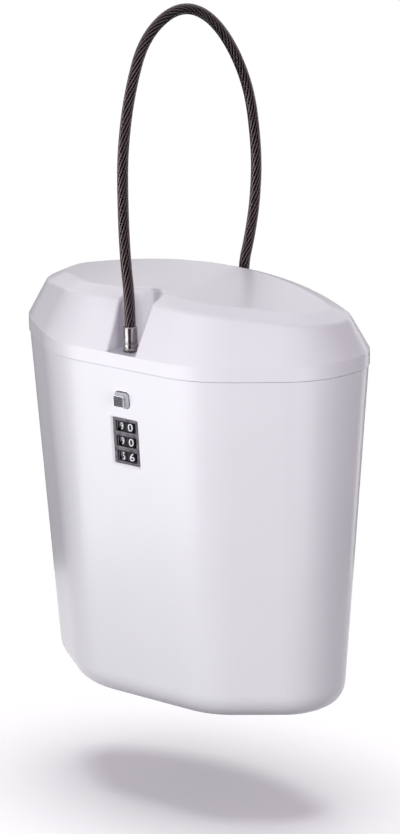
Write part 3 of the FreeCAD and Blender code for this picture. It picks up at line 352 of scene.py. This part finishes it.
def joined_copy(node: str, name: str) -> bpy.types.Object:
    """Copies a node as a joined mesh with its finish.

    Args:
        node: Node to copy.
        name: Name of the copy.

    Returns:
        The copy.
    """
    work = bmesh.new()
    work.from_mesh(frame["nodes"][node].data)
    bmesh.ops.remove_doubles(work, verts=work.verts, dist=SAME_PLACE)
    mesh = bpy.data.meshes.new(name)
    work.to_mesh(mesh)
    work.free()
    mesh.materials.clear()
    mesh.materials.append(NODE_FINISH[node].material())
    copy = bpy.data.objects.new(name, mesh)
    bpy.context.scene.collection.objects.link(copy)
    return copy


def soft_edged(node: str, name: str, width: float) -> bpy.types.Object:
    """Copies a node as a joined mesh whose sharp edges are softly rounded.

    Args:
        node: Node to copy.
        name: Name of the piece.
        width: Width of the rounding in metres.

    Returns:
        The piece, which stands for the node.
    """
    carrier = joined_copy(node, name + "_start")
    bevel = carrier.modifiers.new("soft_edges", "BEVEL")
    bevel.width = width
    bevel.segments = 2
    bevel.limit_method = "ANGLE"
    bevel.angle_limit = math.radians(28.0)
    bevel.harden_normals = True
    piece = baked(carrier, name)
    piece.data.shade_smooth()
    return piece


@dataclass(frozen=True)
class LockWall:
    """Sloping front wall that carries the lock, as the first number wheel's axis gives it."""

    joint: str = "dial_1_turn"

    def joint_record(self, name: str) -> dict:
        """The record of one joint."""
        joints = frame["record"]["behaviour"]["joints"]
        return next(item for item in joints if item["name"] == name)

    def up(self) -> Vector:
        """Direction up the wall."""
        return Vector(self.joint_record(self.joint)["axis"]).normalized()

    def out(self) -> Vector:
        """Direction out of the wall."""
        return Vector((1.0, 0.0, 0.0)).cross(self.up())

    def tilt(self) -> float:
        """Angle by which the wall leans out at its top."""
        up = self.up()
        return math.atan2(-up.y, up.z)

    def extent(self, node: str, direction: Vector) -> tuple[float, float]:
        """Reach of a node along a direction.

        Args:
            node: Node's name.
            direction: Unit vector.

        Returns:
            Lowest and highest place along it.
        """
        reach = [vertex.co.dot(direction) for vertex in frame["nodes"][node].data.vertices]
        return min(reach), max(reach)


# Sub-assemblies

@dataclass
class Shells:
    """Body and lid, with their hinge, inner panel, seal and fastenings."""

    nodes: tuple[str, ...] = ("body_shell", "lid_shell", "hinge_lugs", "hinge_pin", "lid_panel",
                              "rim_seal", "panel_screws", "front_bush", "rear_bush")

    def build(self) -> None:
        """Dresses each piece."""
        for name in self.nodes:
            dress_node(name)


@dataclass
class NumberLock:
    """Face plate and number wheels, with the case and the works behind them."""

    nodes: tuple[str, ...] = ("lock_plate", "lock_housing", "lock_cover", "dial_spindle",
                              "detent_spring", "housing_screws", "cover_screws", "dial_1", "dial_2",
                              "dial_3", "code_cam_1", "code_cam_2", "code_cam_3")
    plate_edge: float = 0.22 * MM
    dial_radius: float = 9.5 * MM
    digit_size: float = 6.3 * MM
    digit_weight: float = 0.05 * MM
    digit_depth: float = 0.14 * MM
    digit_rise: float = 0.02 * MM
    slice_width: float = 0.5 * MM
    first_digits: tuple[int, ...] = (9, 9, 5)
    wall: LockWall = LockWall()

    def build(self) -> None:
        """Builds the plate and the numbers, and dresses the rest."""
        for name in self.nodes:
            dress_node(name)
        plate = soft_edged("lock_plate", "lock_face_plate", self.plate_edge)
        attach(plate, "safe_body")
        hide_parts("lock_plate")
        LOG.info("built %s", plate.name)
        for index, first in enumerate(self.first_digits, 1):
            numbers = self.numbers(index, first)
            LOG.info("built %s", numbers.name)

    def digit_mesh(self, digit: int) -> bpy.types.Mesh:
        """One raised digit as a closed mesh, centred in its own box.

        Args:
            digit: The digit.

        Returns:
            Its mesh, lying flat.
        """
        text = bpy.data.curves.new("digit", "FONT")
        text.body = str(digit)
        text.size = self.digit_size
        text.offset = self.digit_weight
        text.extrude = self.digit_depth
        text.resolution_u = 3
        holder = bpy.data.objects.new("digit", text)
        bpy.context.scene.collection.objects.link(holder)
        bpy.context.view_layer.update()
        graph = bpy.context.evaluated_depsgraph_get()
        mesh = bpy.data.meshes.new_from_object(holder.evaluated_get(graph))
        bpy.data.objects.remove(holder)
        low = Vector(min(vertex.co[axis] for vertex in mesh.vertices) for axis in range(3))
        high = Vector(max(vertex.co[axis] for vertex in mesh.vertices) for axis in range(3))
        mesh.transform(Matrix.Translation(-(low + high) / 2))
        return mesh

    def strip(self, first: int) -> bpy.types.Mesh:
        """The ten digits side by side, sliced so that they can bend round a wheel.

        Args:
            first: Digit left of the wheel's front.

        Returns:
            The flat strip, one turn long.
        """
        pitch = FULL_TURN * self.dial_radius / 10
        strip = bmesh.new()
        for place in range(10):
            mesh = self.digit_mesh((first + place) % 10)
            mesh.transform(Matrix.Translation(((place - 0.5) * pitch, 0.0, 0.0)))
            strip.from_mesh(mesh)
        bmesh.ops.remove_doubles(strip, verts=strip.verts, dist=1e-7)
        cut = -pitch
        while cut < 10 * pitch:
            parts = strip.verts[:] + strip.edges[:] + strip.faces[:]
            bmesh.ops.bisect_plane(strip, geom=parts, dist=1e-8, plane_co=(cut, 0.0, 0.0),
                                   plane_no=(1.0, 0.0, 0.0))
            cut += self.slice_width
        flat = bpy.data.meshes.new("digit_strip")
        strip.to_mesh(flat)
        strip.free()
        return flat

    def wrap_tree(self, name: str) -> SizedTree:
        """Tree that bends a flat strip round a wheel's rim.

        Args:
            name: Tree's name.

        Returns:
            The tree.
        """
        tree = SizedTree(name, {"Rim Radius": self.dial_radius, "Rise": self.digit_rise,
                                "Tilt": self.wall.tilt()})
        place = tree.add("ShaderNodeSeparateXYZ", {
            "Vector": tree.add("GeometryNodeInputPosition").outputs["Position"]})
        angle = tree.calc("DIVIDE", place.outputs["X"], tree.size("Rim Radius"))
        radius = tree.calc("ADD", tree.size("Rim Radius"),
                           tree.calc("ADD", place.outputs["Z"], tree.size("Rise")))
        bent = tree.add("ShaderNodeCombineXYZ", {
            "X": tree.calc("MULTIPLY", radius, tree.calc("SINE", angle)),
            "Y": tree.calc("MULTIPLY", tree.calc("MULTIPLY", radius, tree.calc("COSINE", angle)), -1.0),
            "Z": place.outputs["Y"]})
        moved = tree.add("GeometryNodeSetPosition", {
            "Geometry": tree.source.outputs["Geometry"], "Position": bent.outputs["Vector"]})
        lean = tree.add("ShaderNodeCombineXYZ", {"X": tree.size("Tilt")})
        leaned = tree.add("GeometryNodeTransform", {
            "Geometry": moved.outputs["Geometry"], "Rotation": lean.outputs["Vector"]})
        tree.close(leaned.outputs["Geometry"], DIGIT)
        return tree

    def numbers(self, index: int, first: int) -> bpy.types.Object:
        """Numbers of one wheel.

        Args:
            index: Number of the wheel, from the top.
            first: Digit left of the wheel's front.

        Returns:
            The piece.
        """
        name = f"dial_{index}_numbers"
        piece = self.wrap_tree(name).run(name, self.strip(first))
        middle = Vector(self.wall.joint_record(f"dial_{index}_turn")["pos_m"])
        piece.data.transform(Matrix.Translation(middle))
        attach(piece, f"dial_{index}_body")
        return piece


@dataclass
class ReleaseButton:
    """Push button with its grip pad, and the latch behind it."""

    nodes: tuple[str, ...] = ("release_button", "button_pad", "latch_slide")
    cap_edge: float = 0.28 * MM
    knurl_pitch: float = 1.15 * MM
    knurl_share: float = 0.78
    knurl_height: float = 0.34 * MM
    knurl_sunk: float = 0.06 * MM
    knurl_top: float = 0.5
    margin: float = 0.35 * MM
    wall: LockWall = LockWall()

    def build(self) -> None:
        """Builds the cap and the pad's points, and dresses the rest."""
        for name in self.nodes:
            dress_node(name)
        cap = soft_edged("release_button", "button_cap", self.cap_edge)
        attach(cap, "release")
        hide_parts("release_button")
        LOG.info("built %s", cap.name)
        base = self.pad_base()
        for piece in (base, self.knurl()):
            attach(piece, "release")
            LOG.info("built %s", piece.name)
        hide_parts("button_pad")

    def pad_base(self) -> bpy.types.Object:
        """The pad, with its face lowered by the height of the points."""
        out = self.wall.out()
        level = self.wall.extent("button_pad", out)[1] - self.knurl_height
        base = joined_copy("button_pad", "pad_base")
        for vertex in base.data.vertices:
            vertex.co -= out * max(0.0, vertex.co.dot(out) - level)
        return base

    def knurl(self) -> bpy.types.Object:
        """Grid of small blunt points over the pad's face."""
        left, right = self.wall.extent("button_pad", Vector((1.0, 0.0, 0.0)))
        low, high = self.wall.extent("button_pad", self.wall.up())
        front = self.wall.extent("button_pad", self.wall.out())[1]
        width = right - left - 2 * self.margin
        height = high - low - 2 * self.margin
        across = max(2, round(width / self.knurl_pitch))
        upward = max(2, round(height / self.knurl_pitch))
        half = self.knurl_pitch * self.knurl_share / 2
        tree = SizedTree("pad_points", {
            "Columns": across, "Rows": upward, "Width": width - 2 * half, "Height": height - 2 * half,
            "Foot Radius": half * math.sqrt(2.0), "Top Radius": half * math.sqrt(2.0) * self.knurl_top,
            "Point Height": self.knurl_height + self.knurl_sunk})
        grid = tree.add("GeometryNodeMeshGrid", {
            "Size X": tree.size("Width"), "Size Y": tree.size("Height"),
            "Vertices X": tree.size("Columns"), "Vertices Y": tree.size("Rows")})
        point = tree.add("GeometryNodeMeshCone", {
            "Vertices": 4, "Radius Top": tree.size("Top Radius"),
            "Radius Bottom": tree.size("Foot Radius"), "Depth": tree.size("Point Height")})
        set_out = tree.add("GeometryNodeInstanceOnPoints", {
            "Points": grid.outputs["Mesh"], "Instance": point.outputs["Mesh"],
            "Rotation": (0.0, 0.0, math.radians(45.0))})
        tree.close(set_out.outputs["Instances"], PAD_POINTS)
        piece = tree.run("pad_knurl", bpy.data.meshes.new("pad_knurl_start"))
        foot = self.knurl_height + self.knurl_sunk
        middle = (Vector(((left + right) / 2, 0.0, 0.0)) + self.wall.up() * (low + high) / 2
                  + self.wall.out() * (front - foot))
        stand = Matrix.Rotation(math.radians(90.0) + self.wall.tilt(), 4, "X")
        piece.data.transform(Matrix.Translation(middle) @ stand)
        return piece


@dataclass
class CableLoop:
    """Looped security cable: twisted wires under a clear jacket, along one smooth route."""

    nodes: tuple[str, ...] = ("front_ferrule", "lock_plug", "rear_ferrule", "guide_rod", "stop_collar")
    diameter: float = 6.0 * MM
    length: float = 0.39
    wire_count: int = 9
    wire_radius: float = 0.53 * MM
    wire_inset: float = 0.12 * MM
    wire_sides: int = 10
    lay_length: float = 43.0 * MM
    core_radius: float = 1.75 * MM
    steps: int = 360
    route: list = field(default_factory=lambda: [
        (-50.507, 222.2), (-50.507, 238.2), (-53.5, 262.0), (-54.3, 292.0), (-53.5, 320.0),
        (-46.5, 351.0), (-32.5, 380.0), (-1.0, 392.5), (30.5, 378.5), (57.0, 341.0), (64.0, 300.0),
        (62.0, 272.0), (56.0, 250.0), (50.007, 236.0), (50.007, 222.0)])

    def curve(self, name: str, radius: float) -> bpy.types.Object:
        """Makes the route as one open spline.

        Args:
            name: Object's name.
            radius: Bevel radius, 0 for a bare line.

        Returns:
            The curve object.
        """
        data = bpy.data.curves.new(name, "CURVE")
        data.dimensions = "3D"
        data.bevel_depth = radius
        data.bevel_resolution = 8
        data.use_fill_caps = radius > 0
        spline = data.splines.new("NURBS")
        spline.points.add(len(self.route) - 1)
        for point, (y, z) in zip(spline.points, self.route):
            point.co = (0.0, y * MM, z * MM, 1.0)
        spline.order_u = 3
        spline.use_endpoint_u = True
        spline.resolution_u = 24
        item = bpy.data.objects.new(name, data)
        bpy.context.scene.collection.objects.link(item)
        return item

    def jacket_material(self) -> bpy.types.Material:
        """Clear jacket: see-through except for its reflections, with a slightly uneven gloss."""
        made = bpy.data.materials.new("clear_jacket")
        made.use_nodes = True
        graph = Graph(made.node_tree)
        graph.tree.nodes.clear()
        place = graph.add("ShaderNodeTexCoord").outputs["Object"]
        cloud = graph.add("ShaderNodeTexNoise", {"Vector": place, "Scale": 90.0}).outputs["Fac"]
        rough = graph.add("ShaderNodeMapRange", {"Value": cloud, "To Min": 0.1, "To Max": 0.2})
        clear = graph.add("ShaderNodeBsdfTransparent", {"Color": (0.90, 0.87, 0.88, 1.0)})
        gloss = graph.add("ShaderNodeBsdfGlossy", {"Roughness": rough.outputs["Result"]})
        edge = graph.add("ShaderNodeFresnel", {"IOR": 1.22})
        mix = graph.add("ShaderNodeMixShader", {
            "Fac": edge.outputs["Fac"], 1: clear.outputs["BSDF"], 2: gloss.outputs["BSDF"]})
        graph.add("ShaderNodeOutputMaterial", {"Surface": mix.outputs["Shader"]})
        return made

    def wires_tree(self) -> SizedTree:
        """Tree that lays helical wires along a line in the YZ plane."""
        ring = self.diameter / 2 - self.wire_radius - self.wire_inset
        tree = SizedTree("twisted_wires", {
            "Wires": self.wire_count, "Lay Length": self.lay_length, "Wire Radius": self.wire_radius,
            "Ring Radius": ring, "Steps": self.steps, "Sides": self.wire_sides})
        line = tree.add("GeometryNodeMeshToCurve", {"Mesh": tree.source.outputs["Geometry"]})
        even = tree.add("GeometryNodeResampleCurve", {
            "Curve": line.outputs["Curve"], "Count": tree.size("Steps")}, mode="COUNT")
        copies = tree.add("GeometryNodeDuplicateElements", {
            "Geometry": even.outputs["Curve"], "Amount": tree.size("Wires")}, domain="SPLINE")
        along = tree.add("GeometryNodeSplineParameter").outputs["Length"]
        turns = tree.calc("DIVIDE", along, tree.size("Lay Length"))
        phase = tree.calc("DIVIDE", copies.outputs["Duplicate Index"], tree.size("Wires"))
        angle = tree.calc("MULTIPLY", tree.calc("ADD", turns, phase), FULL_TURN)
        reach = tree.add("ShaderNodeCombineXYZ", {"X": tree.size("Ring Radius")})
        turned = tree.add("ShaderNodeVectorRotate", {
            "Vector": reach.outputs["Vector"], "Angle": angle,
            "Axis": tree.add("GeometryNodeInputTangent").outputs["Tangent"]},
            rotation_type="AXIS_ANGLE")
        shift = tree.add("GeometryNodeSetPosition", {
            "Geometry": copies.outputs["Geometry"], "Offset": turned.outputs["Vector"]})
        section = tree.add("GeometryNodeCurvePrimitiveCircle", {
            "Resolution": tree.size("Sides"), "Radius": tree.size("Wire Radius")})
        tube = tree.add("GeometryNodeCurveToMesh", {
            "Curve": shift.outputs["Geometry"], "Profile Curve": section.outputs["Curve"],
            "Fill Caps": True})
        smooth = tree.add("GeometryNodeSetShadeSmooth", {"Geometry": tube.outputs["Mesh"]})
        tree.close(smooth.outputs["Geometry"], WIRE)
        return tree

    def build(self) -> None:
        for name in self.nodes:
            dress_node(name)
        bare = self.curve("cable_line", 0.0)
        bpy.context.view_layer.update()
        graph = bpy.context.evaluated_depsgraph_get()
        line = bpy.data.meshes.new_from_object(bare.evaluated_get(graph))
        bpy.data.objects.remove(bare)
        wires = self.wires_tree().run("cable_wires", line)
        # The core's near-black colour is painted shade in the gaps between the wires.
        core = self.curve("cable_core", self.core_radius)
        core.data.materials.append(CORE_GAP_SHADE.material())
        jacket = self.curve("cable_jacket", self.diameter / 2)
        jacket.data.materials.append(self.jacket_material())
        for item in (wires, core, jacket):
            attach(item, "cable")
            LOG.info("built %s", item.name)
        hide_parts("security_cable")


# Studio

class LampKind(Enum):
    """Kind of lamp in the studio."""

    SOFTBOX = "AREA"
    OVERHEAD = "SUN"


@dataclass(frozen=True)
class Lamp:
    """Soft lamp beside the object, or an even one above it that lights the floor alone."""

    name: str
    kind: LampKind
    azimuth: float
    reach: float
    height: float
    strength: float
    spread: float
    colour: tuple[float, float, float] = (1.0, 1.0, 1.0)
    aim: tuple[float, float, float] = (0.0, 0.0, 0.13)

    def place(self) -> Vector:
        """Where the lamp stands, azimuth 0 being the front."""
        side = math.radians(self.azimuth)
        return Vector((math.sin(side) * self.reach, -math.cos(side) * self.reach, self.height))

    def build(self, floor: bpy.types.Object) -> None:
        """Makes the lamp and links it to what it lights.

        Args:
            floor: The floor, which only the overhead lamp lights.
        """
        data = bpy.data.lights.new(self.name, self.kind.value)
        data.energy = self.strength
        data.color = self.colour
        if self.kind is LampKind.SOFTBOX:
            data.shape = "DISK"
            data.size = self.spread
        else:
            data.angle = math.radians(self.spread)
        item = bpy.data.objects.new(self.name, data)
        item.location = self.place()
        item.rotation_euler = (self.place() - Vector(self.aim)).to_track_quat("Z", "Y").to_euler()
        item.visible_glossy = False
        bpy.context.scene.collection.objects.link(item)
        group = bpy.data.collections.new(self.name + "_lights")
        group.objects.link(floor)
        state = "INCLUDE" if self.kind is LampKind.OVERHEAD else "EXCLUDE"
        group.collection_objects[0].light_linking.link_state = state
        item.light_linking.receiver_collection = group


@dataclass
class Studio:
    """Camera at the photograph's angle, soft lights and a pale floor."""

    azimuth: float = 39.042
    elevation: float = 17.693
    roll: float = -1.144
    distance: float = 2.1391
    focal_pixels: float = 3794.3
    image: tuple[int, int] = (400, 834)
    centre_pixel: tuple[float, float] = (192.114, 499.127)
    target: tuple[float, float, float] = (0.0, 0.0, 0.110)
    sensor: float = 36.0
    floor_level: float = -0.062
    floor_radius: float = 0.40
    floor_lift: float = 0.28
    fade_start: float = 0.20
    fade_end: float = 0.38
    fill: float = 0.285
    fill_colour: tuple[float, float, float, float] = (0.97, 0.84, 1.0, 1.0)
    gloss_gain: float = 3.0
    overhead: float = 1.0
    overhead_share: float = 0.74
    overhead_start: float = 0.05
    overhead_end: float = 0.30
    lamps: tuple[Lamp, ...] = (
        Lamp("key", LampKind.SOFTBOX, -4.0, 0.90, 0.32, 5.2, 0.40, (0.98, 1.0, 0.99)),
        Lamp("right_front", LampKind.SOFTBOX, 64.0, 0.90, 0.22, 2.4, 0.40),
        Lamp("top", LampKind.SOFTBOX, -152.0, 0.70, 1.10, 8.2, 0.45),
        Lamp("back", LampKind.SOFTBOX, -172.0, 0.90, 0.35, 1.6, 0.50),
        Lamp("floor_lamp", LampKind.OVERHEAD, -141.0, 0.11, 2.0, 1.75, 34.0),
    )
    surround: tuple[tuple[float, float], ...] = (
        (-180.0, 0.25), (-140.0, 0.12), (-62.0, 0.12),
        (-50.0, 3.0), (-10.0, 3.0), (2.0, 0.10), (40.0, 0.10), (52.0, 0.40), (58.0, 1.4), (72.0, 1.4), (80.0, 0.40), (113.0, 0.35),
        (125.0, 0.55), (146.0, 0.55), (160.0, 0.25), (180.0, 0.25))

    def camera(self) -> None:
        """Makes the camera that frames the object as the photograph does."""
        side_angle, height, roll = (math.radians(v) for v in (self.azimuth, self.elevation, self.roll))
        back = Vector((math.sin(side_angle) * math.cos(height), -math.cos(side_angle) * math.cos(height),
                       math.sin(height)))
        side = Vector((math.cos(side_angle), math.sin(side_angle), 0.0))
        up = back.cross(side)
        right = side * math.cos(roll) + up * math.sin(roll)
        high = up * math.cos(roll) - side * math.sin(roll)
        aside = (self.image[0] / 2 - self.centre_pixel[0]) / self.focal_pixels
        above = (self.centre_pixel[1] - self.image[1] / 2) / self.focal_pixels
        forward = (-back + right * aside + high * above).normalized()
        right = (right - forward * right.dot(forward)).normalized()
        high = right.cross(forward)
        data = bpy.data.cameras.new("camera")
        data.sensor_width = self.sensor
        data.lens = self.focal_pixels * self.sensor / max(self.image)
        data.clip_start, data.clip_end = 0.05, 50.0
        item = bpy.data.objects.new("camera", data)
        bpy.context.scene.collection.objects.link(item)
        turn = Matrix((right, high, -forward)).transposed()
        place = Vector(self.target) + back * self.distance
        item.matrix_world = Matrix.Translation(place) @ turn.to_4x4()
        bpy.context.scene.camera = item

    def world(self) -> None:
        """Makes a pale surround: white to the camera, graded round the object in reflections."""
        world = bpy.data.worlds.new("studio")
        bpy.context.scene.world = world
        world.use_nodes = True
        graph = Graph(world.node_tree)
        graph.tree.nodes.clear()
        way = graph.add("ShaderNodeSeparateXYZ", {
            "Vector": graph.add("ShaderNodeTexCoord").outputs["Generated"]})
        angle = graph.calc("ARCTAN2", way.outputs["X"], graph.calc("MULTIPLY", way.outputs["Y"], -1.0))
        share = graph.calc("ADD", graph.calc("DIVIDE", angle, FULL_TURN), 0.5)
        ramp = graph.add("ShaderNodeValToRGB", {"Fac": share})
        stops = ramp.color_ramp.elements
        for index, (azimuth, level) in enumerate(self.surround):
            place = azimuth / 360.0 + 0.5
            stop = stops[0] if index == 0 else stops.new(place)
            tone = level / self.gloss_gain
            stop.position, stop.color = place, (tone, tone, tone, 1.0)
        stops.remove(stops[len(self.surround)])
        above = graph.add("ShaderNodeMapRange", {
            "Value": way.outputs["Z"], "From Min": self.overhead_start,
            "From Max": self.overhead_end, "To Max": self.overhead_share},
            interpolation_type="SMOOTHSTEP")
        tone = self.overhead / self.gloss_gain
        dome = graph.add("ShaderNodeMixRGB", {
            "Fac": above.outputs["Result"], "Color1": ramp.outputs["Color"],
            "Color2": (tone, tone, tone, 1.0)})
        graded = graph.add("ShaderNodeBackground", {
            "Color": dome.outputs["Color"], "Strength": self.gloss_gain})
        fill = graph.add("ShaderNodeBackground", {"Color": self.fill_colour, "Strength": self.fill})
        white = graph.add("ShaderNodeBackground", {"Color": (1.0, 1.0, 1.0, 1.0)})
        path = graph.add("ShaderNodeLightPath").outputs
        seen = graph.calc("MAXIMUM", path["Is Camera Ray"], path["Is Transmission Ray"])
        mirrored = graph.add("ShaderNodeMixShader", {
            "Fac": path["Is Glossy Ray"], 1: fill.outputs["Background"],
            2: graded.outputs["Background"]})
        whole = graph.add("ShaderNodeMixShader", {
            "Fac": seen, 1: mirrored.outputs["Shader"], 2: white.outputs["Background"]})
        graph.add("ShaderNodeOutputWorld", {"Surface": whole.outputs["Shader"]})

    def floor_material(self) -> bpy.types.Material:
        """Pale floor that keeps the shadow, throws little light back and fades into the surround."""
        made = bpy.data.materials.new("floor_white")
        made.use_nodes = True
        graph = Graph(made.node_tree)
        graph.tree.nodes.clear()
        path = graph.add("ShaderNodeLightPath").outputs
        seen = graph.calc("MAXIMUM", path["Is Camera Ray"],
                          graph.calc("MAXIMUM", path["Is Glossy Ray"], path["Is Transmission Ray"]))
        tone = graph.add("ShaderNodeMixRGB", {
            "Fac": seen, "Color1": (0.10, 0.10, 0.11, 1.0), "Color2": (0.90, 0.90, 0.905, 1.0)})
        paint = graph.add("ShaderNodeBsdfDiffuse", {"Color": tone.outputs["Color"]})
        lift = graph.add("ShaderNodeEmission", {
            "Strength": graph.calc("MULTIPLY", seen, self.floor_lift)})
        both = graph.add("ShaderNodeAddShader", {
            0: paint.outputs["BSDF"], 1: lift.outputs["Emission"]})
        place = graph.add("ShaderNodeTexCoord").outputs["Object"]
        reach = graph.add("ShaderNodeVectorMath", {0: place}, operation="LENGTH").outputs["Value"]
        fade = graph.add("ShaderNodeMapRange", {
            "Value": reach, "From Min": self.fade_start, "From Max": self.fade_end},
            interpolation_type="SMOOTHSTEP").outputs["Result"]
        white = graph.add("ShaderNodeEmission", {"Strength": seen})
        mix = graph.add("ShaderNodeMixShader", {
            "Fac": fade, 1: both.outputs["Shader"], 2: white.outputs["Emission"]})
        graph.add("ShaderNodeOutputMaterial", {"Surface": mix.outputs["Shader"]})
        return made

    def floor(self) -> bpy.types.Object:
        """Makes the round floor."""
        count = 96
        turns = [FULL_TURN * index / count for index in range(count)]
        ring = [(self.floor_radius * math.cos(turn), self.floor_radius * math.sin(turn),
                 self.floor_level) for turn in turns]
        mesh = bpy.data.meshes.new("floor")
        mesh.from_pydata(ring, [], [tuple(range(count))])
        mesh.materials.append(self.floor_material())
        item = bpy.data.objects.new("floor", mesh)
        bpy.context.scene.collection.objects.link(item)
        return item

    def build(self) -> None:
        """Sets up the camera, the surround, the floor and the lamps."""
        bpy.context.scene.view_settings.view_transform = "Standard"
        self.camera()
        self.world()
        floor = self.floor()
        for lamp in self.lamps:
            lamp.build(floor)


def main() -> None:
    """Builds every sub-assembly in order."""
    logging.basicConfig(level=logging.INFO, format="%(message)s")
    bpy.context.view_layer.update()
    for part in (Studio(), CableLoop(), Shells(), NumberLock(), ReleaseButton()):
        part.build()


if __name__ == "__main__":
    main()
